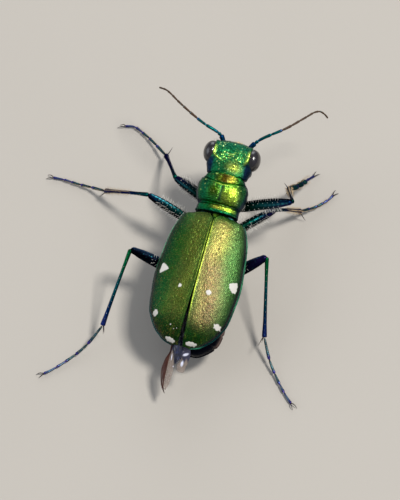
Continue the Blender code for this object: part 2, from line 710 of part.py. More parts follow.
def stand_on_centre(pieces):
    """Hang every piece on one empty, set so that the beetle's box is centred on the origin."""
    corners = np.array([vertex.co[:] for piece in pieces for vertex in piece.data.vertices])
    middle = (corners.min(axis=0) + corners.max(axis=0)) / 2
    root = bpy.data.objects.new("tiger_beetle", None)
    bpy.data.collections["tiger_beetle"].objects.link(root)
    root.location = (-middle[0], -middle[1], 0.0)
    for piece in pieces:
        piece.parent = root


def main():
    """Build the beetle."""
    clear_scene()
    green, dark, eyes, pale, smoky = build_body()
    trunk = [piece for piece in green + dark if piece.name in CARVED_BY]
    for piece in trunk:
        for leg in LEGS:
            if leg.name.startswith(CARVED_BY[piece.name]):
                combine(piece, [leg_room(leg)], "DIFFERENCE")
    legs = build_legs()
    finishes = (
        (green, make_material("metallic green cuticle", METAL_GREEN, 0.8, 0.35)),
        (dark, make_material("dark green cuticle", DEEP_GREEN, 0.7, 0.35)),
        (legs, make_material("blue black cuticle", BLUE_BLACK, 0.6, 0.35)),
        (eyes, make_material("eye", EYE_BROWN, 0.0, 0.15)),
        (pale, make_material("ivory mouthpart", IVORY, 0.0, 0.45)),
        (smoky, make_material("smoky wing", SMOKE_BROWN, 0.0, 0.3)),
    )
    for pieces, material in finishes:
        for piece in pieces:
            piece.data.materials.clear()
            piece.data.materials.append(material)
            piece.data.shade_smooth()
            piece.data.set_sharp_from_angle(angle=np.radians(35.0))
    stand_on_centre([piece for pieces, _ in finishes for piece in pieces])


if __name__ == "__main__":
    main()
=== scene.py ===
"""Looks of the six-spotted tiger beetle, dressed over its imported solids.

Sizes are millimetres. Most shapes are worked out in the body's own frame, where x runs to the beetle's
right, v forwards along the body and w up from the margin of the wing cases. Legs and feelers are given in
the standing frame, where the floor is level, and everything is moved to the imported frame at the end.
"""

import logging
from dataclasses import dataclass, field
from enum import Enum
from functools import cache, reduce

import bpy
import numpy as np
from mathutils import Matrix, Vector


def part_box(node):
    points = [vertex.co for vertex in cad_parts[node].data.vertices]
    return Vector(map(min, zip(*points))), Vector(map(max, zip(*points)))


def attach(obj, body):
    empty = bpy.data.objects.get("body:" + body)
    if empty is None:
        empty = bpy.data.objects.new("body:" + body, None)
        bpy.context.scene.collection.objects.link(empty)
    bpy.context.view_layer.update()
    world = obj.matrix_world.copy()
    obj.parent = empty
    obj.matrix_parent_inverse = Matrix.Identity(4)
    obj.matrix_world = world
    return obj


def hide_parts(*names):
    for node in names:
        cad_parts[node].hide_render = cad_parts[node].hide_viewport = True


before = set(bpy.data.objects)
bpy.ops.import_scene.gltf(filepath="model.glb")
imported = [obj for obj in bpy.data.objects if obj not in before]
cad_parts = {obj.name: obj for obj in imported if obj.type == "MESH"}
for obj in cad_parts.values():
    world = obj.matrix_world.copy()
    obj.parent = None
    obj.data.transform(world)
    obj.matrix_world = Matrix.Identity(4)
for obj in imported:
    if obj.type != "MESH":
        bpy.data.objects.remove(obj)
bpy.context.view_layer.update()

Array = np.ndarray
Colour = tuple[float, float, float]
Point = tuple[float, float, float]
Row = tuple[float, ...]
Rows = tuple[Row, ...]
Masks = dict[str, Array]
Value = float | Row | bpy.types.NodeSocket

LOG = logging.getLogger("beetle")

MM = 0.001
BODY_PITCH = np.radians(12.0)      # head end up
BODY_HEIGHT = 4.1                  # margin of the wing cases above the floor, at their base
EYE_CENTRE = (1.12, 3.5, 0.0)
SCREEN_GAMMA = 2.2
HONEYCOMB = 0.87                   # distance between a honeycomb's rows, over that between its cells
JITTER = 0.4                       # how far a pit strays inside its cell
BAKE_PATCH = 0.003                 # width of one hair's patch on the bake map


def standing(points: Array) -> Array:
    """Turn body points up by the pitch about x and lift them to the body's height.

    Args:
        points: x, v, w of each point, in mm.

    Returns:
        The same points in the standing frame, in mm.
    """
    x, v, w = np.moveaxis(np.asarray(points, float), -1, 0)
    cos, sin = np.cos(BODY_PITCH), np.sin(BODY_PITCH)
    return np.stack([x, v * cos - w * sin, v * sin + w * cos + BODY_HEIGHT], -1)


def frame_offset() -> Array:
    """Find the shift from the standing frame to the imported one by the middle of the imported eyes.

    Returns:
        The shift in mm.
    """
    corners = [corner for name in ("eye_left", "eye_right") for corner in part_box(name)]
    middle = np.mean([tuple(corner) for corner in corners], axis=0) / MM
    eye = standing(np.array(EYE_CENTRE))
    return np.array([middle[0], middle[1] - eye[1], 0.0])


OFFSET = frame_offset()


def smooth_step(value: Array, low: float, high: float) -> Array:
    """Return 0 below low and 1 above high, with an S curve 3s^2 - 2s^3 between."""
    share = np.clip((value - low) / (high - low), 0.0, 1.0)
    return share * share * (3.0 - 2.0 * share)


def fall(value: Array, low: float, high: float) -> Array:
    """Return 1 below low and 0 above high, which is 1 less the smooth step."""
    return 1.0 - smooth_step(value, low, high)


def bell(value: Array, centre: float | Array, width: float | Array) -> Array:
    """Return exp(-((value - centre) / width)^2): 1 at the centre and 0.37 one width away."""
    return np.exp(-(((value - centre) / width) ** 2))


def blob(x: Array, v: Array, place: tuple[float, float], size: tuple[float, float]) -> Array:
    """Return exp(-dx^2 - dv^2) of the way from a place over a size: a soft round patch that is 1 there."""
    return np.exp(-(((x - place[0]) / size[0]) ** 2) - ((v - place[1]) / size[1]) ** 2)


def most(*values: Array) -> Array:
    """Return the greatest of several values at each point."""
    return reduce(np.maximum, values)


def unit(vectors: Array) -> Array:
    """Return each vector over its length."""
    return vectors / np.linalg.norm(vectors, axis=-1, keepdims=True)


def full_turn(count: int) -> Array:
    """Return so many even angles round a full turn, from 0."""
    return np.linspace(0, 2 * np.pi, count, endpoint=False)


def stacked(x: Array, v: Array, w: Array) -> Array:
    """Stack three coordinates that broadcast together into points."""
    return np.stack(np.broadcast_arrays(x, v, w), -1)


def there_and_back(out: Array, back: Array) -> Array:
    """Join rows that run out with rows that run back, into closed sections."""
    return np.concatenate([out, back[:, ::-1]], axis=1)


def chance(*numbers: Array | float) -> Array:
    """Draw a repeatable number from 0 to 1 for each set of whole numbers.

    The draw is the fraction left of a large sine of a weighted sum.

    Args:
        numbers: Arrays or numbers that broadcast together.

    Returns:
        One draw for each element.
    """
    weights = (127.1, 311.7, 74.7, 269.5)
    total = sum(weight * np.asarray(number, float) for weight, number in zip(weights, numbers))
    return np.modf(np.abs(np.sin(total) * 43758.5453))[0]


def speckle(x: Array, v: Array, per_mm: float) -> Array:
    """Draw a number from 0 to 1 for each little square, so many a millimetre."""
    return chance(np.round(x * per_mm), np.round(v * per_mm))


def through(keys: Array, values: Array, at: Array) -> Array:
    """Follow key values by a monotone cubic, which doesn't overshoot them.

    Slopes are the harmonic mean of the two neighbouring steps, or 0 where these change sign, and each step
    is a cubic Hermite between its two ends.

    Args:
        keys: Rising places of the values.
        values: The value at each key.
        at: Places to read, inside the keys.

    Returns:
        The curve's value at each place.
    """
    keys, values, at = (np.asarray(part, float) for part in (keys, values, at))
    steps = np.diff(keys)
    rises = np.diff(values) / steps
    slopes = np.zeros_like(values)
    product = rises[:-1] * rises[1:]
    safe = np.where(product > 0, rises[:-1] + rises[1:], 1.0)
    slopes[1:-1] = np.where(product > 0, 2.0 * product / safe, 0.0)
    slopes[0], slopes[-1] = rises[0], rises[-1]
    span = np.clip(np.searchsorted(keys, at, side="right") - 1, 0, len(steps) - 1)
    step = steps[span]
    share = np.clip((at - keys[span]) / step, 0.0, 1.0)
    square, cube = share**2, share**3
    start = (2 * cube - 3 * square + 1) * values[span] + (cube - 2 * square + share) * step * slopes[span]
    end = (3 * square - 2 * cube) * values[span + 1] + (cube - square) * step * slopes[span + 1]
    return start + end


def smooth_path(points: Array, shares: Array) -> Array:
    """Run a smooth curve through points: a monotone cubic in each coordinate over the length walked so far.

    Args:
        points: The points to pass, in order.
        shares: Places along the curve, 0 to 1 of the length of its chords.

    Returns:
        A point for each share.
    """
    points = np.asarray(points, float)
    walked = np.concatenate([[0.0], np.cumsum(np.linalg.norm(np.diff(points, axis=0), axis=1))])
    places = np.asarray(shares) * walked[-1]
    return np.stack([through(walked, column, places) for column in points.T], -1)


def dense_ends(count: int) -> Array:
    """Return shares from 0 to 1 that crowd towards both ends, (1 - cos(pi s)) / 2."""
    return (1.0 - np.cos(np.linspace(0.03, np.pi - 0.03, count))) / 2.0


def round_ends(share: Array, start: float, end: float) -> Array:
    """Close a width of 1 to 0 at both ends, as a quarter of an ellipse: sqrt(1 - (1 - s)^2).

    Args:
        share: Along the part, 0 to 1.
        start: Length of the first end's ellipse, as a share.
        end: Of the last end's.

    Returns:
        The width at each share.
    """
    near = np.clip(share / start, 0.0, 1.0)
    far = np.clip((1.0 - share) / end, 0.0, 1.0)
    return np.sqrt(1.0 - (1.0 - near) ** 2) * np.sqrt(1.0 - (1.0 - far) ** 2)


def jointed(lengths: Row, rings: int, gap: float) -> tuple[Array, Array, Array]:
    """Spread rings over the joints of a limb.

    Args:
        lengths: Of the joints, in any unit.
        rings: On each joint.
        gap: Share of a joint that is left free at each of its ends.

    Returns:
        Each ring's joint number, its share along that joint and its share along the limb.
    """
    ends = np.concatenate([[0.0], np.cumsum(lengths)])
    ends = ends / ends[-1]
    number = np.repeat(np.arange(len(lengths)), rings)
    within = np.tile(np.linspace(gap, 1 - gap, rings), len(lengths))
    return number, within, ends[number] + within * (ends[number + 1] - ends[number])


def pits(across: Array, along: Array, spacing: float, radius: float, seed: float) -> Array:
    """Sink round pits on a jittered honeycomb.

    Each cell of the honeycomb has one pit, up to a fifth of the spacing off its middle, and the depth falls
    from 1 at the pit's middle to 0 at its radius as 1 - d^2.

    Args:
        across: First coordinate over the surface, in mm.
        along: Second coordinate, in mm.
        spacing: Distance between neighbouring pits.
        radius: Of one pit.
        seed: Of the jitter.

    Returns:
        The depth share at each point.
    """
    grid_x, grid_y = across / spacing, along / (spacing * HONEYCOMB)
    cell_y = np.floor(grid_y)
    nearest = np.full(np.shape(grid_x), np.inf)
    for step_y in (-1, 0, 1):
        row = cell_y + step_y
        shift = 0.5 * np.mod(row, 2)
        cell_x = np.floor(grid_x - shift)
        for step_x in (-1, 0, 1):
            column = cell_x + step_x
            pit_x = column + shift + 0.5 + JITTER * (chance(column, row, seed) - 0.5)
            pit_y = row + 0.5 + JITTER * (chance(column, row, seed + 1.0) - 0.5)
            nearest = np.minimum(nearest, np.hypot(grid_x - pit_x, (grid_y - pit_y) * HONEYCOMB))
    return np.clip(1.0 - (nearest * spacing / radius) ** 2, 0.0, 1.0)


@dataclass
class Surface:
    """A closed mesh in the making, with its named masks.

    Attributes:
        points: Of the standing frame, in mm.
        faces: Point numbers of each face.
        masks: One value a point for each name.
        roots: Place of each point on the bake map, if it has one.
    """

    points: Array
    faces: list[list[int]]
    masks: Masks = field(default_factory=dict)
    roots: Array | None = None

    def outwards(self) -> "Surface":
        """Turn all faces round where the mesh holds a negative volume, the sum of its corner tetrahedra.

        Returns:
            The same surface.
        """
        counts = np.array([len(face) for face in self.faces])
        volume = 0.0
        for corners in np.unique(counts):
            group = np.array([face for face in self.faces if len(face) == corners])
            origin = self.points[group[:, 0]]
            for second in range(1, corners - 1):
                turn = np.cross(self.points[group[:, second]], self.points[group[:, second + 1]])
                volume += float(np.einsum("ij,ij->", origin, turn))
        if volume < 0:
            self.faces = [face[::-1] for face in self.faces]
        return self


def joined(surfaces: list[Surface]) -> Surface:
    """Put several closed surfaces into one list of points and faces, with 0 where a mask is missing.

    Args:
        surfaces: All with a bake map, or the result has none.

    Returns:
        The one surface.
    """
    names = sorted({name for surface in surfaces for name in surface.masks})
    starts = np.cumsum([0] + [len(surface.points) for surface in surfaces])
    faces = [
        [corner + int(start) for corner in face]
        for surface, start in zip(surfaces, starts)
        for face in surface.faces
    ]
    masks = {
        name: np.concatenate([s.masks.get(name, np.zeros(len(s.points))) for s in surfaces]) for name in names
    }
    mapped = all(surface.roots is not None for surface in surfaces)
    roots = np.concatenate([surface.roots for surface in surfaces]) if mapped else None
    return Surface(np.concatenate([surface.points for surface in surfaces]), faces, masks, roots)


def ring_quads(index: Array) -> list[list[int]]:
    """Return the quads between neighbouring rows of point numbers, with each row closed on itself."""
    turned = np.roll(index, -1, axis=1)
    return np.stack([index[:-1], turned[:-1], turned[1:], index[1:]], -1).reshape(-1, 4).tolist()


def ring_skin(points: Array, masks: Masks | None = None) -> Surface:
    """Close a stack of rings into a skin, with a pole at the mean of the first ring and of the last.

    Args:
        points: Rows of rings, as rows x around x 3.
        masks: Values of the same rows and columns.

    Returns:
        The closed surface, facing outwards.
    """
    rows, around = points.shape[:2]
    index = np.arange(rows * around).reshape(rows, around)
    turned = np.roll(index, -1, axis=1)
    first, last = rows * around, rows * around + 1
    start = np.stack([np.full(around, first), turned[0], index[0]], -1)
    end = np.stack([np.full(around, last), index[-1], turned[-1]], -1)
    flat = np.concatenate([points.reshape(-1, 3), points[[0, -1]].mean(axis=1)])
    kept = {
        name: np.concatenate([values.ravel(), values[[0, -1]].mean(axis=1)])
        for name, values in (masks or {}).items()
    }
    return Surface(flat, ring_quads(index) + start.tolist() + end.tolist(), kept).outwards()


def grid_normals(points: Array, wrapped: bool) -> Array:
    """Work out a grid's normals, the cross product of its two central differences at each point.

    Args:
        points: The grid, rows x columns x 3.
        wrapped: Whether the columns close on themselves.

    Returns:
        The unit normals.
    """
    down = np.gradient(points, axis=0)
    if wrapped:
        across = np.roll(points, -1, axis=1) - np.roll(points, 1, axis=1)
    else:
        across = np.gradient(points, axis=1)
    normal = np.cross(across, down)
    return normal / np.maximum(np.linalg.norm(normal, axis=-1, keepdims=True), 1e-9)


def raised(points: Array, height: Array) -> Array:
    """Lift a grid of closed rings by a height along its normals, turned away from the rings' middles.

    Args:
        points: The grid, rows x columns x 3.
        height: In mm, of the same rows and columns.

    Returns:
        The lifted grid.
    """
    normal = grid_normals(points, True)
    outward = points - points.mean(axis=1, keepdims=True)
    sign = np.sign(np.einsum("rck,rck->", normal, outward))
    return points + sign * normal * height[..., None]


def sweep(
    path: Array,
    wide: Array,
    tall: Array,
    reference: Array,
    around: int = 20,
    masks: Masks | None = None,
) -> Surface:
    """Carry an ellipse along a path.

    At each point of the path the ellipse's first axis is the reference made square to the path, and its
    second is square to both. The ring is wide * cos(a) of the first plus tall * sin(a) of the second.

    Args:
        path: The points of the middle line.
        wide: Half width along the first axis at each point.
        tall: Half width along the second axis.
        reference: A direction that isn't along the path anywhere.
        around: Points in a ring.
        masks: Values along the path, or along the path and around it.

    Returns:
        The closed surface.
    """
    tangent = unit(np.gradient(path, axis=0))
    first = unit(reference - (tangent @ reference)[:, None] * tangent)
    second = np.cross(tangent, first)
    angle = full_turn(around)
    ring = (
        first[:, None] * (wide[:, None] * np.cos(angle))[..., None]
        + second[:, None] * (tall[:, None] * np.sin(angle))[..., None]
    )
    spread = {
        name: np.broadcast_to(values if values.ndim == 2 else values[:, None], (len(path), around))
        for name, values in (masks or {}).items()
    }
    return ring_skin(path[:, None] + ring, spread)


def hairs(
    roots: Array,
    directions: Array,
    lengths: Array,
    radius: float,
    places: Array,
    droop: float = 0.15,
) -> Surface:
    """Grow one thin, tapered, three-sided hair from each root.

    A hair is three rings and a point at 0, 0.35, 0.7 and 1 of its length, with radii of 1, 0.8, 0.5 and 0
    of the root's, and it bends down by droop times its length times the square of the share along it.

    Args:
        roots: Standing-frame points, in mm.
        directions: Unit way of each hair.
        lengths: In mm.
        radius: At the root.
        places: Each root's place on the unwrapped skin, from 0 to 1 both ways.
        droop: Drop of the tip as a share of the length.

    Returns:
        All the hairs as one surface, with a patch of the bake map for each.
    """
    shares = np.array([0.0, 0.35, 0.7])
    taper = np.array([1.0, 0.8, 0.5])
    side = unit(np.cross(directions, np.array([0.31, 0.43, 0.85])))
    other = np.cross(directions, side)
    angle = np.arange(3) * 2 * np.pi / 3
    ring = side[:, None] * np.cos(angle)[:, None] + other[:, None] * np.sin(angle)[:, None]
    drop = np.array([0.0, 0.0, -droop])
    middle = (
        roots[:, None]
        + directions[:, None] * (lengths[:, None] * shares)[..., None]
        + (lengths[:, None] * shares**2)[..., None] * drop
    )
    rings = middle[:, :, None] + ring[:, None] * (radius * taper)[None, :, None, None]
    tips = roots + directions * lengths[:, None] + lengths[:, None] * drop
    points = np.concatenate([rings.reshape(len(roots), 9, 3), tips[:, None]], axis=1)
    quads = ring_quads(np.arange(9).reshape(3, 3))
    ends = [[6, 7, 9], [7, 8, 9], [8, 6, 9], [2, 1, 0]]
    starts = np.arange(len(roots))[:, None, None] * 10
    faces = (np.array(quads) + starts).reshape(-1, 4).tolist()
    faces += (np.array(ends) + starts).reshape(-1, 3).tolist()
    patch = np.stack(np.meshgrid([0, 0.5, 1], shares), -1).reshape(9, 2)
    patch = BAKE_PATCH * np.concatenate([patch, [[0.5, 1]]])
    mapped = (np.clip(places, 0.0, 0.996)[:, None] + patch).reshape(-1, 2)
    return Surface(points.reshape(-1, 3), faces, {}, mapped).outwards()


def linear(colour: Colour) -> tuple[float, float, float, float]:
    """Return a screen colour, 0 to 1 a channel, as the light that a shader takes."""
    return (*(channel**SCREEN_GAMMA for channel in colour), 1.0)


@dataclass(frozen=True)
class Layer:
    """A colour laid over the ones before it where a mask of the mesh is high.

    Attributes:
        mask: Name of the mesh's mask.
        colour: On screen.
        metallic: Share of metal in it.
        roughness: Of its shine.
        grain: How much of the grain is left under it, where it is a mark.
        alpha: Share of light that it stops on a clear skin.
    """

    mask: str
    colour: Colour
    metallic: float = 0.95
    roughness: float = 0.34
    grain: float = 0.25
    alpha: float = 0.96


class Recipe:
    """A material's nodes in the making, fed with object coordinates in metres."""

    def __init__(self, name: str) -> None:
        """Start an empty tree with a shader and an output.

        Args:
            name: Of the material.
        """
        self.material = bpy.data.materials.new(name)
        self.material.use_nodes = True
        self.tree = self.material.node_tree
        self.tree.nodes.clear()
        self.coords = self.add("ShaderNodeTexCoord").outputs["Object"]
        self.shader = self.add("ShaderNodeBsdfPrincipled")
        self.add("ShaderNodeOutputMaterial", {"Surface": self.shader.outputs["BSDF"]})

    def add(self, kind: str, fed: dict[int | str, Value] | None = None, **settings: object) -> bpy.types.Node:
        """Add a node.

        Args:
            kind: Its type.
            fed: What goes into its inputs, by their number or name.
            **settings: Properties to set on it first.

        Returns:
            The node.
        """
        node = self.tree.nodes.new(kind)
        for key, value in settings.items():
            setattr(node, key, value)
        for key, value in (fed or {}).items():
            self.feed(node.inputs[key], value)
        return node

    def feed(self, target: bpy.types.NodeSocket, value: Value) -> None:
        """Link a socket, or set it where the value is a number or colour.

        Args:
            target: Socket to feed.
            value: What goes into it.
        """
        if isinstance(value, bpy.types.NodeSocket):
            self.tree.links.new(value, target)
        else:
            target.default_value = value

    def mask(self, name: str) -> bpy.types.NodeSocket:
        """Read one of the mesh's masks."""
        return self.add("ShaderNodeAttribute", attribute_name=name).outputs["Fac"]

    def noise(self, per_mm: float, detail: float = 3.0) -> bpy.types.NodeSocket:
        """Return fractal noise of so many lumps a millimetre, each octave 0.6 of the one before."""
        fed = {"Vector": self.coords, "Scale": per_mm / MM, "Detail": detail, "Roughness": 0.6}
        return self.add("ShaderNodeTexNoise", fed).outputs["Fac"]

    def cells(self, per_mm: float) -> bpy.types.Node:
        """Add a mosaic of so many cells a millimetre and return its node."""
        return self.add("ShaderNodeTexVoronoi", {"Vector": self.coords, "Scale": per_mm / MM})

    def maths(self, operation: str, first: Value, second: Value) -> bpy.types.NodeSocket:
        """Return the result of one sum on two numbers."""
        return self.add("ShaderNodeMath", {0: first, 1: second}, operation=operation).outputs[0]

    def between(self, value: Value, *ends: float) -> bpy.types.NodeSocket:
        """Map a number from a low and a high end to 0 and 1, or to a third and a fourth end."""
        fed = dict(enumerate((value, *ends)))
        return self.add("ShaderNodeMapRange", fed, clamp=True).outputs["Result"]

    def mix(self, share: Value, first: Value, second: Value, blend: str = "MIX") -> bpy.types.NodeSocket:
        """Mix two colours by the second's share."""
        fed = {0: share, 6: first, 7: second}
        return self.add("ShaderNodeMix", fed, data_type="RGBA", blend_type=blend).outputs[2]

    def number(self, share: Value, first: Value, second: Value) -> bpy.types.NodeSocket:
        """Mix two numbers by the second's share."""
        return self.add("ShaderNodeMix", {0: share, 2: first, 3: second}, data_type="FLOAT").outputs[0]

    def lay(self, layers: tuple[Layer, ...], colour: Value, **levels: Value) -> tuple[Value, ...]:
        """Lay colours over one another by their masks, and draw each level to the layer's own by the same.

        Args:
            layers: In the order in which they are laid.
            colour: Under them all.
            **levels: Start values of the levels, each under the name of a layer's attribute.

        Returns:
            The colour and then each level.
        """
        for layer in layers:
            share = self.mask(layer.mask)
            colour = self.mix(share, colour, linear(layer.colour))
            for name, level in levels.items():
                levels[name] = self.number(share, level, getattr(layer, name))
        return colour, *levels.values()

    def patchy(self, per_mm: float, colour: Colour, mottle: Colour) -> bpy.types.NodeSocket:
        """Drift from one screen colour to another in soft patches, so many a millimetre."""
        return self.mix(self.between(self.noise(per_mm), 0.35, 0.65), linear(colour), linear(mottle))

    def bump(self, height: Value, depth: float, **under: Value) -> bpy.types.NodeSocket:
        """Turn a height of 0 to 1 into a normal, depth mm deep, over another Normal where one is given."""
        fed = {"Strength": 1.0, "Distance": depth * MM, "Height": height} | under
        return self.add("ShaderNodeBump", fed).outputs["Normal"]

    def set(self, **values: Value) -> None:
        """Feed the shader's sockets, whose names have underscores here for spaces."""
        for name, value in values.items():
            self.feed(self.shader.inputs[name.replace("_", " ")], value)


@dataclass(frozen=True)
class Cuticle:
    """Shining metallic shell, granular at a few hundredths of a millimetre.

    Attributes:
        colour: Main colour on screen.
        mottle: Colour that it drifts to in soft patches.
        fleck: Colour of the bright grains.
        layers: Colours over it, under the grain.
        marks: Plain marks over the grain.
        fleck_share: Share of the grains that are bright.
        fleck_strength: How far the brightest of them reach the fleck's colour.
        contrast: How far a grain's brightness strays.
        spark: Colour of the second kind of bright grains, with its own share and strength.
        quiet: Mask where no grain is bright.
        edge_tint: Colour of the metal's shine at a slant.
        waves_per_mm: Low waves under the grain.
    """

    name: str
    colour: Colour
    mottle: Colour
    fleck: Colour
    layers: tuple[Layer, ...] = ()
    marks: tuple[Layer, ...] = ()
    metallic: float = 0.95
    roughness: float = 0.34
    mottle_per_mm: float = 1.1
    grains_per_mm: float = 12.0
    grain_depth: float = 0.012
    fleck_share: float = 0.2
    fleck_strength: float = 0.8
    contrast: float = 0.35
    spark: Colour = (0.75, 0.45, 0.20)
    spark_share: float = 0.0
    spark_strength: float = 0.45
    quiet: str = "night"
    edge_tint: Colour = (1.0, 1.0, 1.0)
    waves_per_mm: float = 4.0
    wave_depth: float = 0.015

    def dress(self) -> bpy.types.Material:
        """Build the material: patches, layers, grain, then marks.

        A grain's own three draws say whether it is bright, how bright it is at all and whether it sparks.

        Returns:
            The material.
        """
        recipe = Recipe(self.name)
        colour = recipe.patchy(self.mottle_per_mm, self.colour, self.mottle)
        metal, rough = self.metallic, self.roughness
        colour, metal, rough = recipe.lay(self.layers, colour, metallic=metal, roughness=rough)
        grain = recipe.cells(self.grains_per_mm)
        first, second, third = recipe.add("ShaderNodeSeparateColor", {0: grain.outputs["Color"]}).outputs
        calm = recipe.maths("SUBTRACT", 1.0, recipe.mask(self.quiet))
        bright = recipe.between(first, 1.0 - self.fleck_share, 1.0, 0.0, self.fleck_strength)
        value = recipe.between(second, 0.0, 1.0, 1.0 - self.contrast, 1.0 + self.contrast)
        grey = recipe.add("ShaderNodeCombineColor", dict.fromkeys(range(3), value)).outputs[0]
        lit = recipe.mix(recipe.maths("MULTIPLY", bright, calm), colour, linear(self.fleck), "SCREEN")
        if self.spark_share > 0:
            glint = recipe.between(third, 1.0 - self.spark_share, 1.0, 0.0, self.spark_strength)
            lit = recipe.mix(recipe.maths("MULTIPLY", glint, calm), lit, linear(self.spark), "SCREEN")
        colour = recipe.mix(1.0, lit, grey, "MULTIPLY")
        colour, metal, rough, left = recipe.lay(
            self.marks, colour, metallic=metal, roughness=rough, grain=1.0,
        )
        height = recipe.maths("MULTIPLY", grain.outputs["Distance"], left)
        waves = recipe.bump(recipe.noise(self.waves_per_mm, 2.0), self.wave_depth)
        normal = recipe.bump(height, self.grain_depth, Normal=waves)
        recipe.set(Base_Color=colour, Metallic=metal, Roughness=rough, Normal=normal)
        recipe.set(Specular_Tint=linear(self.edge_tint))
        return recipe.material


@dataclass(frozen=True)
class Gloss:
    """Plain, non-metallic skin: eyes, ivory jaws, dark claws, hairs.

    Attributes:
        colour: Main colour on screen.
        mottle: Colour that it drifts to.
        coat: Weight of the clear coat.
        facets_per_mm: Facets a millimetre, or 0 for fine grain in their place.
        facet_depth: Height of the facets or of the fine grain, in mm.
        layers: Colours over it where a mask is high.
    """

    name: str
    colour: Colour
    mottle: Colour
    roughness: float = 0.3
    coat: float = 0.0
    coat_roughness: float = 0.04
    mottle_per_mm: float = 3.0
    facets_per_mm: float = 0.0
    grains_per_mm: float = 12.0
    facet_depth: float = 0.004
    layers: tuple[Layer, ...] = ()

    def dress(self) -> bpy.types.Material:
        """Build the material: patchy colour, layers, and a bump of facets or of fine noise.

        Returns:
            The material.
        """
        recipe = Recipe(self.name)
        colour = recipe.patchy(self.mottle_per_mm, self.colour, self.mottle)
        colour, metal, rough = recipe.lay(self.layers, colour, metallic=0.0, roughness=self.roughness)
        if self.facets_per_mm > 0:
            height = recipe.cells(self.facets_per_mm).outputs["Distance"]
        else:
            height = recipe.noise(self.grains_per_mm, 2.0)
        normal = recipe.bump(height, self.facet_depth)
        recipe.set(Base_Color=colour, Metallic=metal, Roughness=rough, Normal=normal)
        recipe.set(Coat_Weight=self.coat, Coat_Roughness=self.coat_roughness)
        return recipe.material


@dataclass(frozen=True)
class Membrane:
    """Thin clear wing skin, with a faint brown tint and fine creases.

    Attributes:
        colour: On screen.
        mottle: Colour that it drifts to.
        alpha: Share of light that it stops.
        layers: Closely folded places, which let almost nothing through, and painted highlights where a fold
            would shine.
    """

    name: str
    colour: Colour
    mottle: Colour
    alpha: float
    roughness: float = 0.12
    layers: tuple[Layer, ...] = ()
    mottle_per_mm: float = 2.5
    creases_per_mm: float = 5.0
    crease_depth: float = 0.05

    def dress(self) -> bpy.types.Material:
        """Build the material: patchy tint, the see-through share, folded places and creases in the normal.

        Returns:
            The material.
        """
        recipe = Recipe(self.name)
        colour = recipe.mix(recipe.noise(self.mottle_per_mm), linear(self.colour), linear(self.mottle))
        colour, alpha = recipe.lay(self.layers, colour, alpha=self.alpha)
        creases = recipe.bump(recipe.noise(self.creases_per_mm, 4.0), self.crease_depth)
        recipe.set(Base_Color=colour, Roughness=self.roughness, Alpha=alpha, Normal=creases)
        return recipe.material


LIME = (0.80, 0.94, 0.29)
GOLD = (0.82, 0.71, 0.26)
AMBER = (0.31, 0.22, 0.04)
TEAL = (0.02, 0.29, 0.24)
NIGHT = (0.03, 0.06, 0.12)
VIOLET = (0.09, 0.09, 0.26)
# Colour of the painted highlight along the cases' rim.
RIM_HIGHLIGHT = (0.45, 0.92, 0.66)
IVORY = (0.81, 0.80, 0.77)

CASE_FINISH = Cuticle(
    "case_metal", (0.07, 0.35, 0.15), (0.16, 0.38, 0.12), (0.46, 0.56, 0.26),
    layers=(
        # Leaf, gold, rose and olive carry the painted reflection of the light from the right: strong on the
        # right case, weak on the left.
        Layer("leaf", (0.31, 0.47, 0.26), roughness=0.40),
        Layer("gold", (0.76, 0.71, 0.40), roughness=0.42),
        Layer("rose", (0.43, 0.36, 0.30), roughness=0.46),
        Layer("olive", (0.33, 0.37, 0.14), roughness=0.40),
        Layer("teal", (0.01, 0.23, 0.19)),
        Layer("deep", (0.02, 0.15, 0.07)),
        Layer("lime", (0.64, 0.72, 0.24), roughness=0.3),
        Layer("night", NIGHT, roughness=0.3),
        Layer("rim", (0.03, 0.27, 0.27), roughness=0.25),
        # Painted highlight along the rim, where it is lit.
        Layer("mint", RIM_HIGHLIGHT, roughness=0.2),
        Layer("pit", (0.03, 0.18, 0.09), roughness=0.5),
    ),
    marks=(Layer("ivory", IVORY, metallic=0.0, roughness=0.5),),
    roughness=0.37, grains_per_mm=24.0, grain_depth=0.007, fleck_share=0.13, contrast=0.42,
    spark=(0.72, 0.42, 0.28), spark_share=0.24, quiet="dull",
)
THORAX_FINISH = Cuticle(
    "thorax_metal", (0.05, 0.42, 0.20), (0.14, 0.47, 0.14), (0.70, 0.80, 0.40),
    layers=(
        Layer("gold", GOLD, roughness=0.3),
        Layer("amber", AMBER, roughness=0.3),
        Layer("olive", (0.25, 0.33, 0.03), roughness=0.3),
        Layer("lime", LIME, roughness=0.28),
        Layer("teal", TEAL),
        Layer("violet", VIOLET, roughness=0.35),
        Layer("night", NIGHT, roughness=0.4),
    ),
    grains_per_mm=13.0, grain_depth=0.014, roughness=0.28, fleck_share=0.05, contrast=0.42, quiet="dull",
)
HEAD_FINISH = Cuticle(
    "head_metal", (0.10, 0.43, 0.26), (0.16, 0.51, 0.28), (0.76, 0.90, 0.56),
    layers=(
        Layer("gold", GOLD, roughness=0.3),
        Layer("lime", (0.78, 0.94, 0.38), roughness=0.25),
        Layer("teal", TEAL),
        Layer("violet", VIOLET, roughness=0.35),
        Layer("night", NIGHT, roughness=0.4),
    ),
    grains_per_mm=15.0, grain_depth=0.014, roughness=0.28, fleck_share=0.07, contrast=0.4, quiet="dull",
)
UNDER_FINISH = Cuticle(
    "under_metal", (0.04, 0.07, 0.11), (0.04, 0.14, 0.13), (0.20, 0.40, 0.38),
    layers=(
        Layer("teal", TEAL),
        Layer("violet", VIOLET),
        Layer("night", (0.05, 0.06, 0.10), roughness=0.2),
        Layer("pleura", (0.42, 0.33, 0.31), metallic=0.3, roughness=0.35),
    ),
    fleck_share=0.06, roughness=0.3,
)
